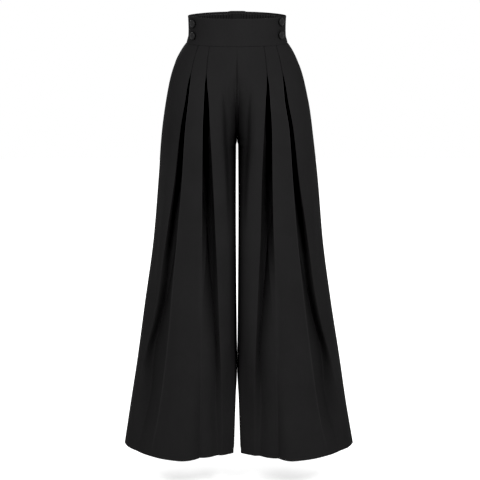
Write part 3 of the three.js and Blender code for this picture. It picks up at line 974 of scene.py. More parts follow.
class NodeTree:
    """A tree of nodes, with short ways to add and join them."""

    def __init__(self, tree: bpy.types.NodeTree) -> None:
        """Keep the tree."""
        self.tree = tree

    def feed(self, node: bpy.types.Node, socket: str | int, value: Feed) -> None:
        """Link or set one input of a node.

        Args:
            node: The node.
            socket: The input's name or number.
            value: The socket that is linked to it, or the value that it is set to.
        """
        if isinstance(value, Socket):
            self.tree.links.new(value, node.inputs[socket])
        else:
            node.inputs[socket].default_value = value

    def feed_all(self, node: bpy.types.Node, inputs: dict[str, Feed]) -> None:
        """Link or set a node's inputs by name, with _ for a space."""
        for label, value in inputs.items():
            self.feed(node, label.replace("_", " "), value)

    def node(self, kind: str, **inputs: Feed) -> bpy.types.Node:
        """Return a new node.

        Args:
            kind: Its type.
            inputs: What its inputs are linked or set to, by name with _ for a space.

        Returns:
            The node.
        """
        node = self.tree.nodes.new(kind)
        self.feed_all(node, inputs)
        return node

    def math(self, operation: str, *values: Feed) -> Socket:
        """Return numbers joined by an operation.

        Args:
            operation: The operation.
            values: The numbers, linked or set.

        Returns:
            The result's socket.
        """
        node = self.node("ShaderNodeMath")
        node.operation = operation
        for i, value in enumerate(values):
            self.feed(node, i, value)
        return node.outputs[0]

    def scaled(self, vector: Socket, factor: Socket) -> Socket:
        """Return a vector or a colour times a number.

        Args:
            vector: The vector or the colour.
            factor: The number.

        Returns:
            The result's socket.
        """
        node = self.node("ShaderNodeVectorMath")
        node.operation = "SCALE"
        self.feed(node, 0, vector)
        self.feed(node, "Scale", factor)
        return node.outputs[0]


class MaterialNodes(NodeTree):
    """A material's nodes, with short ways to add what the finishes share."""

    THREAD_TURN = math.pi / 10
    THREAD_WAVER = 1.2

    def __init__(self, name: str) -> None:
        """Make the material with a plain principled shader.

        Args:
            name: The material's name.
        """
        self.material = bpy.data.materials.new(name)
        self.material.use_nodes = True
        super().__init__(self.material.node_tree)

    def finish(self, **inputs: Feed) -> bpy.types.Material:
        """Return the material with its shader's inputs linked or set by name, with _ for a space."""
        self.feed_all(self.tree.nodes["Principled BSDF"], inputs)
        return self.material

    def noise(self, vector: Socket, sizes: tuple[float, float, float]) -> Socket:
        """Return a noise.

        Args:
            vector: Where it is read.
            sizes: Its scale, detail and roughness.

        Returns:
            Its value's socket.
        """
        scale, detail, rough = sizes
        node = self.node("ShaderNodeTexNoise", Vector=vector, Scale=scale, Detail=detail, Roughness=rough)
        return node.outputs["Fac"]

    def threads(self, vector: Socket, axis: str, pitch: float) -> Socket:
        """Return threads that lie side by side.

        Args:
            vector: Where they are read.
            axis: The axis along which they repeat.
            pitch: The distance from one to the next, in metres.

        Returns:
            Their height's socket.
        """
        scale = self.THREAD_TURN / pitch
        node = self.node(
            "ShaderNodeTexWave", Vector=vector, Scale=scale, Distortion=self.THREAD_WAVER, Detail=1.0
        )
        node.bands_direction = axis
        return node.outputs["Fac"]

    def blend(self, a: Socket, b: Socket, share: float) -> Socket:
        """Return two values added, with a's share of the sum."""
        return self.math("ADD", self.math("MULTIPLY", a, share), self.math("MULTIPLY", b, 1 - share))

    def ramp(
        self, value: Socket, ends: tuple[Colour, ...], span: tuple[float, float] = (0.0, 1.0)
    ) -> Socket:
        """Return a colour that goes from one to another as a value rises.

        Args:
            value: The value.
            ends: The two colours.
            span: The values at which the way begins and ends.

        Returns:
            The colour's socket.
        """
        node = self.node("ShaderNodeValToRGB", Fac=value)
        for element, colour, position in zip(node.color_ramp.elements, ends, span):
            element.color = colour
            element.position = position
        return node.outputs["Color"]

    def relief(self, height: Socket, sizes: tuple[float, float], under: Socket | None = None) -> Socket:
        """Return a normal raised by a height.

        Args:
            height: The height.
            sizes: The relief's strength and its full height in metres.
            under: A normal that it lies on, if there is one.

        Returns:
            The normal's socket.
        """
        node = self.node("ShaderNodeBump", Strength=sizes[0], Distance=sizes[1], Height=height)
        if under is not None:
            self.feed(node, "Normal", under)
        return node.outputs["Normal"]


class GeometryTree(NodeTree):
    """A Geometry Nodes tree with named inputs that ends in Realize Instances and Set Material."""

    def __init__(self, name: str, sizes: dict[str, float], seed: int) -> None:
        """Make the tree's inputs.

        Args:
            name: The tree's name.
            sizes: Its number inputs by name, with the value that each is set to.
            seed: The value of its Seed input.
        """
        super().__init__(bpy.data.node_groups.new(name, "GeometryNodeTree"))
        face = self.tree.interface
        face.new_socket("Geometry", in_out="INPUT", socket_type="NodeSocketGeometry")
        self.values: dict[str, float] = {}
        for label, value in sizes.items():
            socket = face.new_socket(label, in_out="INPUT", socket_type="NodeSocketFloat")
            self.values[socket.identifier] = value
        socket = face.new_socket("Seed", in_out="INPUT", socket_type="NodeSocketInt")
        self.values[socket.identifier] = seed
        socket = face.new_socket("Material", in_out="INPUT", socket_type="NodeSocketMaterial")
        self.material_id = socket.identifier
        face.new_socket("Geometry", in_out="OUTPUT", socket_type="NodeSocketGeometry")
        self.inputs = self.tree.nodes.new("NodeGroupInput").outputs

    def named(self, name: str) -> Socket:
        """Return a number that the mesh carries.

        Args:
            name: The name that it is written under.

        Returns:
            The number's socket.
        """
        node = self.node("GeometryNodeInputNamedAttribute", Name=name)
        node.data_type = "FLOAT"
        return next(s for s in node.outputs if s.enabled and s.name == "Attribute")

    def close(self, geometry: Socket) -> None:
        """End the tree in its two last nodes.

        Args:
            geometry: The geometry to dress and hand out.
        """
        real = self.node("GeometryNodeRealizeInstances", Geometry=geometry).outputs[0]
        finish = self.inputs["Material"]
        dressed = self.node("GeometryNodeSetMaterial", Geometry=real, Material=finish)
        self.feed(self.node("NodeGroupOutput"), 0, dressed.outputs[0])

    def make(self, source: bpy.types.Object, name: str, material: bpy.types.Material) -> bpy.types.Object:
        """Run the tree on an object and return the result as a plain mesh object.

        Args:
            source: The object that the tree reads, which is removed afterwards.
            name: The new object's name.
            material: The finish that the tree sets.

        Returns:
            The new object, linked to the scene.
        """
        modifier = source.modifiers.new(self.tree.name, "NODES")
        modifier.node_group = self.tree
        for identifier, value in self.values.items():
            modifier[identifier] = value
        modifier[self.material_id] = material
        graph = bpy.context.evaluated_depsgraph_get()
        graph.update()
        mesh = bpy.data.meshes.new_from_object(source.evaluated_get(graph))
        mesh.name = name
        source.modifiers.remove(modifier)
        bpy.data.objects.remove(source)
        return placed(name, mesh)


# How quickly the gathers' places and heights change along the band, and how far apart two seeds' patterns are
GATHER_STRAY_RATE = 0.43
GATHER_HEIGHT_SCALE = 2.3
GATHER_SEED_STEP = 7.31


def gather_tree(gathers: float, depth: float, unevenness: float, seed: int) -> GeometryTree:
    """Return a tree that draws a smooth band up into uneven gathers.

    It reads the band's own attributes: across, the share of the way round, and hold, how free the cloth is.

    Args:
        gathers: How many gathers there are.
        depth: Half a gather's height, in metres.
        unevenness: How far a gather strays from its place, as a share of the pitch.
        seed: Which uneven pattern is taken.

    Returns:
        The finished tree.
    """
    sizes = {"Gathers": gathers, "Depth": depth, "Unevenness": unevenness}
    tree = GeometryTree("elastic_gathers", sizes, seed)
    turns = tree.math("MULTIPLY", tree.named("across"), tree.inputs["Gathers"])
    slow = tree.math("MULTIPLY", turns, GATHER_STRAY_RATE)
    pattern = tree.math("MULTIPLY", tree.inputs["Seed"], GATHER_SEED_STEP)
    place = tree.node("ShaderNodeCombineXYZ", X=slow, Y=pattern).outputs[0]
    stray = tree.node("ShaderNodeTexNoise", Vector=place, Scale=1.0, Detail=1.0).outputs["Fac"]
    uneven = tree.node("ShaderNodeTexNoise", Vector=place, Scale=GATHER_HEIGHT_SCALE, Detail=0.0)
    height = uneven.outputs["Fac"]
    strayed = tree.math("MULTIPLY", tree.math("SUBTRACT", stray, 0.5), tree.inputs["Unevenness"])
    wave = tree.math("SINE", tree.math("MULTIPLY", tree.math("ADD", turns, strayed), 2 * math.pi))
    amount = tree.math("MULTIPLY", tree.inputs["Depth"], tree.math("ADD", height, 0.5))
    lift = tree.math("MULTIPLY", tree.math("MULTIPLY", wave, amount), tree.named("hold"))
    offset = tree.scaled(tree.node("GeometryNodeInputNormal").outputs[0], lift)
    moved = tree.node("GeometryNodeSetPosition", Geometry=tree.inputs["Geometry"], Offset=offset)
    tree.close(moved.outputs[0])
    return tree


@dataclass(frozen=True)
class Stitch:
    """A kind of stitch: its length, the space to the next one and its thread's radius, in metres.

    seed says which small differences between the stitches are taken.
    """

    length: float
    gap: float
    radius: float
    seed: int
    segments: int = 6
    rings: int = 5
    least: float = 0.9
    most: float = 1.08

    def tree(self) -> GeometryTree:
        """Return a tree that lays a row of stitches along each line of a mesh.

        Returns:
            The finished tree.
        """
        sizes = {"Stitch Length": self.length, "Stitch Gap": self.gap, "Thread Radius": self.radius}
        tree = GeometryTree("sewn_stitches", sizes, self.seed)
        length, gap, radius = (tree.inputs[label] for label in sizes)
        curve = tree.node("GeometryNodeMeshToCurve", Mesh=tree.inputs["Geometry"])
        points = tree.node("GeometryNodeResampleCurve")
        points.mode = "LENGTH"
        tree.feed(points, "Curve", curve.outputs[0])
        tree.feed(points, "Length", tree.math("ADD", length, gap))
        bead = tree.node("GeometryNodeMeshUVSphere", Segments=self.segments, Rings=self.rings, Radius=radius)
        half = tree.math("MULTIPLY", tree.math("DIVIDE", length, radius), 0.5)
        long = tree.node("ShaderNodeCombineXYZ", X=1.0, Y=1.0, Z=half)
        thread = tree.node("GeometryNodeTransform", Geometry=bead.outputs[0], Scale=long.outputs[0])
        tangent = tree.node("GeometryNodeInputTangent").outputs[0]
        turned = tree.node("FunctionNodeAlignRotationToVector", Vector=tangent)
        turned.axis = "Z"
        vary = tree.node("FunctionNodeRandomValue", Seed=tree.inputs["Seed"])
        vary.data_type = "FLOAT"
        low, high = [s for s in vary.inputs if s.enabled and s.name in ("Min", "Max")]
        low.default_value, high.default_value = self.least, self.most
        laid = tree.node(
            "GeometryNodeInstanceOnPoints",
            Points=points.outputs[0],
            Instance=thread.outputs[0],
            Rotation=turned.outputs[0],
            Scale=next(s for s in vary.outputs if s.enabled),
        )
        tree.close(laid.outputs[0])
        return tree


def seam_paths(name: str, paths: Sequence[np.ndarray]) -> bpy.types.Object:
    """Return an object of plain lines for stitches to follow.

    Args:
        name: The object's name.
        paths: Each line's points, in millimetres.

    Returns:
        The object, linked to the scene.
    """
    points: list[list[float]] = []
    edges: list[tuple[int, int]] = []
    for path in paths:
        first = len(points)
        points.extend((path * MM).tolist())
        edges.extend((first + i, first + i + 1) for i in range(len(path) - 1))
    mesh = bpy.data.meshes.new(name)
    mesh.from_pydata(points, edges, [])
    return placed(name, mesh)


def dress(obj: bpy.types.Object, material: bpy.types.Material, slot: str, *nodes: str) -> None:
    """Give a piece its finish, tie it to the garment and let it stand for its solids.

    Args:
        obj: The piece.
        material: Its finish.
        slot: The record's material slot, which is not used.
        nodes: The solids that it replaces.
    """
    obj.data.materials.clear()
    obj.data.materials.append(material)
    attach(obj, BODY)
    if nodes:
        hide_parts(*nodes)
    LOG.info("%s: %d faces", obj.name, len(obj.data.polygons))


@dataclass
class LegPanels:
    """The four cut leg panels, each a thin wall with its tucks, gathers, folds and turned hem.

    A pair of heights says where something grows or fades. front_steps counts the columns of a front's five
    zones: the inner one, the inner tuck, the panel between, the outer tuck and the side. straight says how
    far each zone's cloth is pushed straight back instead of along its own inward direction.
    """

    cloth: bpy.types.Material
    cloth_thickness: float = 0.9
    hem_turn: float = 28.0
    hem_extra: float = 0.7
    front_steps: tuple[int, ...] = (34, 40, 26, 40, 36)
    in_zone: int = 1
    out_zone: int = 3
    column_pull: float = 0.55
    straight: tuple[float, ...] = (1.0, 0.5, 0.0, 1.0, 0.0)
    straight_fades: tuple[float, float] = (-960.0, -720.0)
    back_steps: int = 112
    seam_rows: tuple[float, float] = (0.0, 0.5)
    first_row: float = 1.2
    upper_row: float = 2.2
    lower_row: float = 5.0
    last_row: float = 3.0
    upper_until: float = -270.0
    turn_edge: float = 0.4
    hem_edge: float = 0.6
    roll_depth: float = 0.9
    roll_reach: float = 3.2
    centre_roll: float = 0.2
    centre_width: float = 14.0
    centre_fades: tuple[float, float] = (-12.0, 18.0)
    rise_start: float = 4.0
    soft_edge_reach: float = 34.0
    # Where along the tucks' pressed edges the colour gets a painted highlight, and how strongly
    highlight_width: float = 1.7
    in_highlight: float = 0.35
    highlight_grows: tuple[float, float] = (-96.0, -130.0)
    highlight_fades: float = 90.0
    gather_margin: float = 0.1
    fine_stray: tuple[float, float, float] = (2.2, 7.3, 1.7)
    fine_height: float = 0.65
    fine_turns: float = 17.0
    ripple_least: float = 0.25
    ripple_from: float = -60.0
    ripple_calm: float = 25.0
    hem_line_ends: int = 2
    hem_lines: list[np.ndarray] = field(default_factory=list)

    def build(self) -> None:
        """Make and dress all four panels."""
        for leg in LEGS:
            self._panel(leg, Half.FRONT)
            self._panel(leg, Half.BACK)

    def _heights(self) -> np.ndarray:
        """Return the heights of the rows, close together near the waist and at the hem's turn.

        Returns:
            The heights, from the waist seam down.
        """
        top, turn = -BAND_HALF_HEIGHT, HEM_Z + self.hem_turn
        upper = np.arange(top - self.first_row, self.upper_until, -self.upper_row)
        lower = np.arange(upper[-1] - self.lower_row, HEM_Z + self.last_row, -self.lower_row)
        ends = [turn + self.turn_edge, turn - self.turn_edge, HEM_Z + self.hem_edge, HEM_Z]
        return np.unique(np.concatenate([[top - gap for gap in self.seam_rows], upper, lower, ends]))[::-1]

    def _panel(self, leg: Leg, half: Half) -> None:
        """Make and dress one panel.

        Args:
            leg: The leg that it belongs to.
            half: Its front or its back.
        """
        z = self._heights()
        outer, turn, painted_highlight = self._front(leg, z) if half is Half.FRONT else self._back(leg, z)
        sideways = np.tile(np.array([-leg.side.value, 0.0, 0.0]), (len(z), 1))
        inseam = -sideways
        inseam[z > CROTCH_Z] = np.nan
        fold = HEM_Z + self.hem_turn
        turned = self.hem_extra * (1 - smooth(fold - self.turn_edge, fold + self.turn_edge, z))
        thickness = np.tile((self.cloth_thickness + turned)[:, None], (1, outer.shape[1]))
        shell = Shell(outer, thickness, turn, (inseam, sideways), painted_highlight)
        name = f"{half.name.lower()}_leg_{leg.word}"
        obj = shell.build(f"{name}_cloth")
        dress(obj, self.cloth, "crepe", name)
        hem_row = int(np.argmin(np.abs(z - (fold + self.turn_edge))))
        self.hem_lines.append(shell.inner()[hem_row, self.hem_line_ends : -self.hem_line_ends])

    def _front(self, leg: Leg, z: np.ndarray) -> tuple[np.ndarray, int, np.ndarray]:
        """Return a front panel's grid.

        Args:
            leg: The leg that it belongs to.
            z: The rows' heights.

        Returns:
            Its outer points, which way the grid turns and the painted highlight at each place.
        """
        lines = leg_lines(leg, Half.FRONT, z)
        tucks = leg.tucks
        inner, outer = tucks.at("in", z), tucks.at("out", z)
        stops = [
            np.zeros((len(z), 1)),
            lines.length_at_x(inner - tucks.at("in_mouth", z)),
            lines.length_at_x(inner),
            lines.length_at_x(outer),
            lines.length_at_x(outer + tucks.at("out_mouth", z)),
            lines.total[:, None],
        ]
        lengths, depths = [], []
        for zone, steps in enumerate(self.front_steps):
            share = spread(steps, self.column_pull)[0 if zone == 0 else 1 :]
            depth, shift = 0.0, 0.0
            if zone == self.in_zone:
                share, shape, shift = tuck_shape(IN_TUCK_SECTION, share, z)
                depth = tucks.at("in_depth", z)[:, None] * shape
            if zone == self.out_zone:
                share, shape, shift = tuck_shape(OUT_TUCK_SECTION, 1 - share, z)
                share, shift = 1 - share, -shift
                depth = tucks.at("out_depth", z)[:, None] * shape
            lengths.append(lines.between(stops[zone], stops[zone + 1], share, z) + shift)
            depths.append(np.zeros_like(lengths[-1]) + depth)
        length, depth = np.concatenate(lengths, axis=1), np.concatenate(depths, axis=1)
        x, y = lines.point(length)
        tall = np.repeat(z[:, None], x.shape[1], axis=1)
        edge = smooth(RISE_FOLD_WIDTH, 0, x - RISE_FOLD.at("x", tall) + RISE_FOLD_WIDTH)
        depth += RISE_FOLD.at("depth", tall) * edge * smooth(0, self.rise_start, x)
        depth += self._finer(leg.front_creases, x, tall, length, lines)
        depth += SOFT_EDGE.at("depth", tall) * edge_roll(np.abs(length - stops[2]), 1, self.soft_edge_reach)
        columns = (*self.front_steps[:-1], self.front_steps[-1] + 1)
        straight = np.repeat(self.straight, columns) * smooth(*self.straight_fades, tall)
        points = self._moved(leg, lines, length, np.stack([x, y, tall], axis=2), depth, 1, straight)
        return points, -leg.side.value, self._painted_highlight(stops, length, z)

    def _painted_highlight(self, stops: Sequence[np.ndarray], length: np.ndarray, z: np.ndarray) -> np.ndarray:
        """Return the painted highlight along the tucks' pressed edges.

        Args:
            stops: The lengths at which the zones begin and end.
            length: The places' lengths along the rows.
            z: The rows' heights.

        Returns:
            The painted highlight at each place, from 0 to 1.
        """
        grown = smooth(*self.highlight_grows, z) * smooth(HEM_Z, HEM_Z + self.highlight_fades, z)
        edge_highlight = np.zeros_like(length)
        for section, stop, share in ((IN_TUCK_SECTION, 2, self.in_highlight), (OUT_TUCK_SECTION, 3, 1)):
            strength = (share * section.at("crisp", z) * grown)[:, None]
            edge_highlight += strength * np.exp(-(((length - stops[stop]) / self.highlight_width) ** 2))
        return edge_highlight

    def _back(self, leg: Leg, z: np.ndarray) -> tuple[np.ndarray, int, np.ndarray]:
        """Return a back panel's grid.

        Args:
            leg: The leg that it belongs to.
            z: The rows' heights.

        Returns:
            Its outer points, which way the grid turns and the painted highlight at each place, which is none.
        """
        lines = leg_lines(leg, Half.BACK, z)
        share = np.linspace(0, 1, self.back_steps + 1)
        length = lines.between(np.zeros((len(z), 1)), lines.total[:, None], share, z)
        x, y = lines.point(length)
        tall = np.repeat(z[:, None], x.shape[1], axis=1)
        hold = smooth(0, self.gather_margin, share) * smooth(0, self.gather_margin, 1 - share)
        size, rate, turn = self.fine_stray
        stray = size * np.sin(rate * share + turn * leg.side.value)
        height = self.fine_height + (1 - self.fine_height) * np.sin(self.fine_turns * share + leg.side.value)
        small = height * np.sin(2 * np.pi * FINE_GATHERS * share + stray)
        depth = np.sin(2 * np.pi * BACK_LEG_GATHERS * share) * BACK_LEG_GATHER_DEPTH.at("depth", tall)
        depth += small * FINE_GATHER_DEPTH.at("depth", tall)
        for fold in leg.back_folds:
            depth += fold.depth_at(share[None, :], tall)
        depth = depth * hold + self._finer(leg.back_creases, x, tall, length, lines)
        points = self._moved(leg, lines, length, np.stack([x, y, tall], axis=2), depth, -1)
        return points, leg.side.value, np.zeros_like(x)

    def _finer(
        self, creases: Sequence[Crease], x: np.ndarray, tall: np.ndarray, length: np.ndarray, lines: PlanLines
    ) -> np.ndarray:
        """Return the depth of a panel's creases, its ripples and its rolled seams.

        Args:
            creases: The panel's creases.
            x: The places' distances from the centre plane.
            tall: Their heights.
            length: Their lengths along the rows.
            lines: The rows' plan lines.

        Returns:
            The depth at each place.
        """
        to_side = lines.total[:, None] - length
        down = np.clip((tall - self.ripple_from) / (HEM_Z - self.ripple_from), 0, 1)
        grown = mix(self.ripple_least, 1.0, down)
        waves = sum(ripple.depth_at(length, tall) for ripple in RIPPLES)
        depth = waves * grown * smooth(0, self.ripple_calm, np.minimum(length, to_side))
        depth += sum(crease.depth_at(x, tall) for crease in creases)
        depth += edge_roll(to_side, self.roll_depth, self.roll_reach)
        depth += edge_roll(length, self.centre_roll, self.roll_reach)
        depth += edge_roll(-BAND_HALF_HEIGHT - tall, self.roll_depth, self.roll_reach)
        return depth

    def _moved(
        self,
        leg: Leg,
        lines: PlanLines,
        length: np.ndarray,
        points: np.ndarray,
        depth: np.ndarray,
        turn: int,
        straight: np.ndarray | float = 0.0,
    ) -> np.ndarray:
        """Return a panel's points moved into the garment.

        Args:
            leg: The leg that the panel belongs to.
            lines: The rows' plan lines.
            length: The points' lengths along them.
            points: The points, with x measured away from the centre plane.
            depth: How far each is moved.
            turn: 1 in front, -1 behind.
            straight: How far each goes straight back instead of along its own inward direction.

        Returns:
            The moved points, on their own side of the centre plane.
        """
        x, y, tall = np.moveaxis(points, 2, 0)
        at_centre = 1 - smooth(0, self.centre_width, length)
        at_centre *= smooth(*(CROTCH_Z + gap for gap in self.centre_fades), tall)
        in_x, in_y = lines.inward(length, turn)
        for share in (straight, at_centre):
            in_x, in_y = mix(in_x, 0.0, share), mix(in_y, float(turn), share)
        edge = np.maximum(x + in_x * depth, INNER_EDGE.at("x", tall))
        return np.stack([leg.side.value * edge, y + in_y * depth, tall], axis=2)


@dataclass(frozen=True)
class ButtonPlace:
    """A covered button's name, side and height on the front waistband."""

    name: str
    side: Side
    z: float


@dataclass
class Waistband:
    """The flat front waistband and the elastic, gathered back one.

    The rows of heights and depths are measured from the edge that they follow.
    """

    cloth: bpy.types.Material
    buttons: Sequence[ButtonPlace]
    button_x: float = 102.0
    dent_depth: float = 2.6
    dent_radius: float = 10.0
    front_thickness: float = 2.0
    front_steps: int = 230
    front_pull: float = 0.12
    front_rim_rows: tuple[float, ...] = (0.0, 0.25, 0.8)
    front_foot_rows: tuple[float, ...] = (0.6, 0.0)
    front_rows: int = 40
    front_row_ends: tuple[float, float] = (1.8, 1.6)
    swell_depth: float = 0.35
    swell_foot: float = -30.0
    swell_height: float = 62.0
    swell_waves: float = 1.5
    swell_turn: float = 0.6
    ripple_depth: float = 0.12
    ripple_length: float = 9.5
    ripple_rise: float = 21.0
    rim_round: float = 0.9
    rim_reach: float = 1.8
    foot_round: float = 0.9
    foot_reach: float = 2.6
    side_round: float = 0.9
    side_reach: float = 3.0
    thin_share: float = 0.4
    thin_reach: float = 1.4
    back_thickness: float = 2.0
    back_rise: float = 3.0
    back_peak: float = 1.5
    back_peak_half_width: float = 24.0
    back_peak_flat: float = 0.6
    back_steps: int = 440
    back_rim_rows: tuple[float, ...] = (0, 0.3, 0.8, 1.6, 2.8, 4.2, 5.4)
    strip_rows: int = 5
    strip_foot: float = 3.0
    back_rows: int = 24
    plain_strip: float = 6.0
    strip_groove: float = 0.5
    strip_groove_width: float = 0.9
    strip_hold: float = 0.8
    strip_hold_width: float = 1.6
    strip_freedom: float = 0.18
    strip_edges: tuple[float, float] = (-1.0, 2.0)
    foot_hold: float = 0.45
    foot_hold_width: float = 5.0
    seam_hold: float = 0.03
    flat_centre: float = 7.0
    flat_edge: float = 4.0
    gathers: float = 44.0
    gather_depth: float = 1.3
    unevenness: float = 0.55
    gather_seed: int = 3
    strip_line_ends: int = 3
    strip_lines: list[np.ndarray] = field(default_factory=list)

    def seat(self, button: ButtonPlace) -> Vector:
        """Return where a button sits on the band before it is dented.

        Args:
            button: The button.

        Returns:
            The place, in millimetres.
        """
        side = float(BAND.at("side", button.z))
        reach = -float(BAND.at("depth", button.z)) - SEAM_Y
        y = SEAM_Y + reach * math.sqrt(1 - (self.button_x / side) ** 2)
        return Vector((button.side.value * self.button_x, y, button.z))

    def outwards(self, button: ButtonPlace) -> Vector:
        """Return the direction out of the band at a button.

        Args:
            button: The button.

        Returns:
            The direction, level and of length 1.
        """
        seat = self.seat(button)
        side = float(BAND.at("side", button.z))
        reach = float(BAND.at("depth", button.z)) + SEAM_Y
        return Vector((seat.x / side**2, (seat.y - SEAM_Y) / reach**2, 0)).normalized()

    def build(self) -> None:
        """Make and dress both bands."""
        self._front()
        self._back()

    def _front(self) -> None:
        """Make and dress the front band, dented where its buttons are sewn on."""
        top, bottom = BAND_HALF_HEIGHT, -BAND_HALF_HEIGHT
        high, low = self.front_row_ends
        rim, foot = top - np.array(self.front_rim_rows), bottom + np.array(self.front_foot_rows)
        z = np.concatenate([rim, np.linspace(top - high, bottom + low, self.front_rows), foot])
        lines = band_lines(z, Half.FRONT)
        share = spread(self.front_steps, self.front_pull)
        length = share * lines.total[:, None]
        x, y = lines.point(length)
        tall = np.repeat(z[:, None], x.shape[1], axis=1)
        depth = edge_roll(top - tall, self.rim_round, self.rim_reach)
        depth += edge_roll(tall - bottom, self.foot_round, self.foot_reach)
        to_side = np.minimum(length, lines.total[:, None] - length)
        depth += edge_roll(to_side, self.side_round, self.side_reach)
        for seat in map(self.seat, self.buttons):
            away = (x - seat.x) ** 2 + (y - seat.y) ** 2 + (tall - seat.z) ** 2
            depth += self.dent_depth * np.exp(-away / self.dent_radius**2)
        swell = np.sin(2 * np.pi * share * self.swell_waves + self.swell_turn)
        depth += self.swell_depth * np.sin(np.pi * (tall - self.swell_foot) / self.swell_height) * swell
        depth += self.ripple_depth * np.sin(length / self.ripple_length + tall / self.ripple_rise)
        in_x, in_y = lines.inward(length, 1)
        outer = np.stack([x + in_x * depth, y + in_y * depth, tall], axis=2)
        shell = Shell(outer, self._wall(top - tall, self.front_thickness), -1, self._sides(outer))
        obj = shell.build("waistband_front_cloth")
        dress(obj, self.cloth, "crepe", "waistband_front")

    def _wall(self, down: np.ndarray, thickness: float) -> np.ndarray:
        """Return a band's thickness, thinner at its rolled top edge, from how far down each place is."""
        return thickness - edge_roll(down, thickness * self.thin_share, self.thin_reach)

    def _sides(self, outer: np.ndarray) -> tuple[np.ndarray, np.ndarray]:
        """Return the directions of a band's walls at its two side seams."""
        right = np.tile(np.array([1.0, 0.0, 0.0]), (len(outer), 1))
        return right, -right

    def _back_top(self, x: np.ndarray) -> np.ndarray:
        """Return the height of the back band's top edge, with its small peak at the centre.

        Args:
            x: The places' distances from the centre plane.

        Returns:
            The height at each place.
        """
        rise = self.back_rise * (1 - (x / float(BAND.at("side", BAND_HALF_HEIGHT))) ** 2)
        width = self.back_peak_half_width
        peak = self.back_peak * (1 - smooth(width * self.back_peak_flat, width, np.abs(x)))
        return BAND_HALF_HEIGHT + rise + peak

    def _back(self) -> None:
        """Make and dress the back band: a smooth sheet that the gather tree draws up."""
        share = np.linspace(0, 1, self.back_steps + 1)
        bottom, strip = -BAND_HALF_HEIGHT, self.plain_strip
        middle = band_lines(np.zeros(1), Half.BACK)
        top = self._back_top(middle.point(share[None, :] * middle.total[:, None])[0][0])
        strip_end = strip + self.strip_foot
        down = np.concatenate([self.back_rim_rows, np.linspace(strip, strip_end, self.strip_rows)])
        lower = np.linspace(0, 1, self.back_rows + 1)[1:, None]
        below = mix(strip_end, (top - bottom)[None, :], lower)
        whole = np.concatenate([np.tile(down[:, None], len(top)), below])
        tall = top - whole
        x, y = np.zeros_like(tall), np.zeros_like(tall)
        for column, part in enumerate(share):
            lines = band_lines(tall[:, column], Half.BACK)
            px, py = lines.point(part * lines.total[:, None])
            x[:, column], y[:, column] = px[:, 0], py[:, 0]
        hold = self._hold(x, share, whole, tall - bottom)
        outer = self._gathered(np.stack([x, y, tall], axis=2), share, hold)
        radial = outer[..., :2] - np.array([0, SEAM_Y])
        radial /= np.linalg.norm(radial, axis=2, keepdims=True)
        pull = edge_roll(whole, self.rim_round, self.rim_reach)
        pull += edge_roll(tall - bottom, self.foot_round, self.foot_reach)
        pull += self.strip_groove * np.exp(-(((whole - strip) / self.strip_groove_width) ** 2))
        outer[..., :2] -= radial * pull[..., None]
        shell = Shell(outer, self._wall(whole, self.back_thickness), 1, self._sides(outer))
        obj = shell.build("waistband_back_cloth")
        dress(obj, self.cloth, "crepe", "waistband_back")
        row, ends = len(self.back_rim_rows), self.strip_line_ends
        self.strip_lines += [points[row, ends:-ends] for points in (outer, shell.inner())]

    def _hold(self, x: np.ndarray, share: np.ndarray, down: np.ndarray, up: np.ndarray) -> np.ndarray:
        """Return how free the back band's cloth is to be drawn up.

        Args:
            x: The places' distances from the centre plane.
            share: Their columns' shares of the way round.
            down: How far below the top edge they are.
            up: How far above the waist seam they are.

        Returns:
            The freedom of each place, from 0 to 1.
        """
        strip = self.plain_strip
        before, after = self.strip_edges
        flat = smooth(self.flat_centre, self.flat_centre + self.flat_edge, np.abs(x))
        seams = smooth(0, self.seam_hold, share) * smooth(0, self.seam_hold, 1 - share)
        at_strip = 1 - self.strip_hold * np.exp(-(((down - strip) / self.strip_hold_width) ** 2))
        at_foot = 1 - self.foot_hold * np.exp(-((up / self.foot_hold_width) ** 2))
        above = mix(self.strip_freedom, 1.0, smooth(strip + before, strip + after, down))
        return flat * seams * at_strip * at_foot * above

    def _gathered(self, sheet: np.ndarray, share: np.ndarray, hold: np.ndarray) -> np.ndarray:
        """Return the band's points after the gather tree has moved them.

        Args:
            sheet: The smooth band's points, in millimetres.
            share: The columns' shares of the way round.
            hold: How free each point is.

        Returns:
            The moved points, in millimetres.
        """
        grid = np.arange(sheet.size // 3).reshape(sheet.shape[:2])
        source = mesh_object("smooth_back_band", sheet.reshape(-1, 3) * MM, grid_faces(grid))
        write_values(source.data, "across", np.tile(share, len(grid)))
        write_values(source.data, "hold", hold.ravel())
        tree = gather_tree(self.gathers, self.gather_depth * MM, self.unevenness, self.gather_seed)
        drawn = tree.make(source, "drawn_back_band", self.cloth)
        points = np.empty(sheet.size)
        drawn.data.vertices.foreach_get("co", points)
        bpy.data.objects.remove(drawn)
        return points.reshape(sheet.shape) / MM


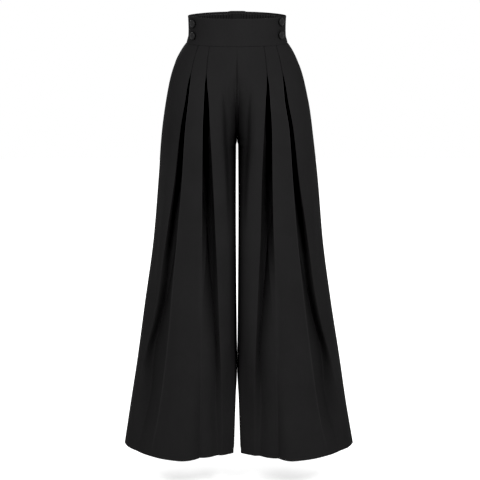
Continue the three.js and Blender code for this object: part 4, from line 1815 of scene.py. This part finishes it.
@dataclass
class CoveredButtons:
    """Domed buttons covered in the trousers' cloth, each on a short thread shank.

    The shank's rows are shares of its radius with their heights. The underside's rows, where the cover is
    gathered, are shares of the button's radius with the depth of the puckers.
    """

    cover: bpy.types.Material
    band: Waistband
    radius: float = 8.6
    shank_radius: float = 2.6
    shank_height: float = 2.6
    shank_rows: tuple[tuple[float, float], ...] = ((0.8, 0.0), (1.0, 0.3), (0.86, 1.3), (1.0, 2.5))
    under_rows: tuple[tuple[float, float], ...] = ((0.42, 0.1), (0.6, 0.22), (0.76, 0.24))
    under_rise: float = 0.12
    rim_height: float = 1.8
    belly_width: float = 0.95
    belly_height: float = 1.5
    belly_rows: int = 9
    belly_turn: float = math.radians(80)
    belly_pucker: float = 0.16
    dome_height: float = 3.2
    dome_power: float = 0.8
    dome_rows: int = 16
    dome_turns: tuple[float, float] = (math.radians(6), math.radians(84))
    turn_to_front: float = math.radians(9)
    clearance: float = 1.15
    segments: int = 72
    puckers: int = 18
    pucker_stray: int = 3
    pucker_in: float = 0.5
    pucker_up: float = 0.4

    def build(self) -> None:
        """Make and dress every button."""
        for button in self.band.buttons:
            obj = self._button(button)
            dress(obj, self.cover, "covered_button", button.name)

    def _profile(self) -> np.ndarray:
        """Return the half section.

        Returns:
            Rows of radius, height and depth of the puckers, from the shank to the dome.
        """
        low = self.shank_height
        rim = low + self.rim_height
        shank = [(self.shank_radius * out, up, 0.0) for out, up in self.shank_rows]
        under = [(self.radius * s, low + self.under_rise * (1 - s), pucker) for s, pucker in self.under_rows]
        turn = np.linspace(-self.belly_turn, 0, self.belly_rows)
        belly_radius = self.radius - self.belly_width + self.belly_width * np.cos(turn)
        pucker = self.belly_pucker * np.abs(turn) / self.belly_turn
        belly = np.stack([belly_radius, rim + self.belly_height * np.sin(turn), pucker], axis=1)
        turn = np.linspace(*self.dome_turns, self.dome_rows)
        dome_radius = self.radius * np.cos(turn) ** self.dome_power
        dome = np.stack([dome_radius, rim + self.dome_height * np.sin(turn), np.zeros_like(turn)], axis=1)
        return np.concatenate([shank, under, belly, dome])

    def _button(self, button: ButtonPlace) -> bpy.types.Object:
        """Return one button in its place.

        Args:
            button: Which one.

        Returns:
            The button, linked to the scene.
        """
        profile = self._profile()
        turn = np.linspace(0, 2 * np.pi, self.segments, endpoint=False)
        pucker = 1 + 0.5 * np.cos(self.puckers * turn + np.sin(self.pucker_stray * turn))
        radius = profile[:, :1] - profile[:, 2:] * pucker * self.pucker_in
        height = profile[:, 1:2] + profile[:, 2:] * pucker * self.pucker_up
        ring = np.stack([radius * np.cos(turn), height, radius * np.sin(turn)], axis=2)
        top = self.shank_height + self.rim_height + self.dome_height
        points = np.concatenate([ring.reshape(-1, 3), [[0, 0, 0], [0, top, 0]]])
        grid = np.arange(radius.size).reshape(radius.shape)
        after = np.roll(grid, -1, axis=1)
        faces = _quads(grid[:-1], grid[1:], after[1:], after[:-1]).tolist()
        faces += [(radius.size, int(a), int(b)) for a, b in zip(grid[0], after[0])]
        faces += [(radius.size + 1, int(b), int(a)) for a, b in zip(grid[-1], after[-1])]
        mesh = smooth_mesh(f"{button.name}_covered", points * MM, faces)
        corners = [v for face in faces for v in face]
        lay_map(mesh, points[corners][:, [0, 2]] * MM)
        out = self.band.outwards(button)
        foot = self.band.seat(button) + out * (self.clearance - self.band.dent_depth)
        out = Matrix.Rotation(-button.side.value * self.turn_to_front, 3, "Z") @ out
        spin = Vector((0, 1, 0)).rotation_difference(out).to_matrix().to_4x4()
        mesh.transform(Matrix.Translation(foot * MM) @ spin)
        return placed(mesh.name, mesh)


@dataclass
class Sewing:
    """The rows of stitches: along the elastic's plain strip, and blind along the inside of each hem."""

    thread: bpy.types.Material
    strip_stitch: Stitch = Stitch(0.0025, 0.0007, 0.00022, 11)
    blind_stitch: Stitch = Stitch(0.0018, 0.0062, 0.00018, 5)

    def build(self, strip_lines: Sequence[np.ndarray], hem_lines: Sequence[np.ndarray]) -> None:
        """Sew the rows.

        Args:
            strip_lines: Lines below the back band's plain strip, in millimetres.
            hem_lines: Lines along the top of each hem's turn, in millimetres.
        """
        self._sew("elastic_strip_stitches", self.strip_stitch, strip_lines)
        self._sew("blind_hem_stitches", self.blind_stitch, hem_lines)

    def _sew(self, name: str, stitch: Stitch, lines: Sequence[np.ndarray]) -> None:
        """Sew rows of one kind of stitch along lines."""
        rows = stitch.tree().make(seam_paths(f"{name}_lines", lines), name, self.thread)
        dress(rows, self.thread, "crepe")


@dataclass(frozen=True)
class SoftLight:
    """A broad studio light, in metres and watts, turned to the middle of the garment."""

    name: str
    place: tuple[float, float, float]
    width: float
    height: float
    power: float
    aim: tuple[float, float, float] = (0.0, 0.0, -0.45)

    def build(self) -> None:
        """Place the light."""
        light = bpy.data.lights.new(self.name, "AREA")
        light.shape = "RECTANGLE"
        light.size = self.width
        light.size_y = self.height
        light.energy = self.power
        obj = placed(self.name, light)
        obj.location = self.place
        obj.rotation_euler = (Vector(self.aim) - Vector(self.place)).to_track_quat("-Z", "Y").to_euler()


@dataclass
class Studio:
    """The camera at the photograph's angle, soft light, a white surround and a plain pale floor.

    The sizes are in metres, but for the camera's, whose focal length and image are in pixels and whose
    sensor is in millimetres.
    """

    camera_place: tuple[float, float, float] = (0.007, -3.6, 0.338)
    camera_pitch: float = math.radians(13.24)
    focal_pixels: float = 1522.0
    image_side: float = 480.0
    sensor: float = 36.0
    near: float = 0.05
    far: float = 60.0
    floor_below_hem: float = 0.09
    floor_side: float = 9.0
    surround: float = 1.0
    black_point: float = 0.0038
    lights: tuple[SoftLight, ...] = (
        SoftLight("front_left_soft", (-1.05, -2.1, 1.35), 0.8, 0.8, 53.0),
        SoftLight("front_right_soft", (1.15, -2.1, 1.35), 0.8, 0.8, 72.0),
        SoftLight("back_soft", (-0.4, 2.6, 1.1), 1.2, 1.0, 50.0),
    )

    def build_camera(self) -> None:
        """Place the camera, level from side to side and pitched down."""
        camera = bpy.data.cameras.new("camera")
        camera.sensor_width = self.sensor
        camera.lens = self.focal_pixels / self.image_side * self.sensor
        camera.clip_start = self.near
        camera.clip_end = self.far
        obj = placed("camera", camera)
        obj.location = self.camera_place
        obj.rotation_euler = (math.pi / 2 - self.camera_pitch, 0.0, 0.0)
        bpy.context.scene.camera = obj

    def build(self) -> None:
        """Make the surround, the lights and the floor."""
        scene = bpy.context.scene
        scene.world = bpy.data.worlds.new("white_surround")
        scene.world.use_nodes = True
        sky = scene.world.node_tree.nodes["Background"]
        sky.inputs["Color"].default_value = grey(1.0)
        sky.inputs["Strength"].default_value = self.surround
        view = scene.view_settings
        view.view_transform = "Standard"
        view.use_curve_mapping = True
        view.curve_mapping.black_level = (self.black_point,) * 3
        view.curve_mapping.update()
        for light in self.lights:
            light.build()
        half, z = self.floor_side / 2, HEM_Z * MM - self.floor_below_hem
        corners = np.array([(-half, -half, z), (half, -half, z), (half, half, z), (-half, half, z)])
        floor = mesh_object("studio_floor", corners, np.array([[0, 1, 2, 3]]))
        floor.data.materials.append(FloorFinish().material())


BUTTON_PLACES = (
    ButtonPlace("button_right_upper", Side.RIGHT, 16.5),
    ButtonPlace("button_right_lower", Side.RIGHT, -12.0),
    ButtonPlace("button_left_upper", Side.LEFT, 21.0),
    ButtonPlace("button_left_lower", Side.LEFT, -10.0),
)


def main() -> None:
    """Build the garment piece by piece, then the studio round it."""
    logging.basicConfig(level=logging.INFO, format="%(name)s %(message)s", stream=sys.stdout)
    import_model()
    studio = Studio()
    studio.build_camera()
    cloth = ClothFinish().material()
    cover = ClothFinish(
        name="covered_button_cloth",
        shade=0.0076,
        roughness=0.5,
        specular=0.06,
        mottle=0.1,
        bump=0.25,
    ).material()
    thread = ThreadFinish().material()
    band = Waistband(cloth, BUTTON_PLACES)
    band.build()
    panels = LegPanels(cloth)
    panels.build()
    CoveredButtons(cover, band).build()
    Sewing(thread).build(band.strip_lines, panels.hem_lines)
    studio.build()


if __name__ == "__main__":
    main()
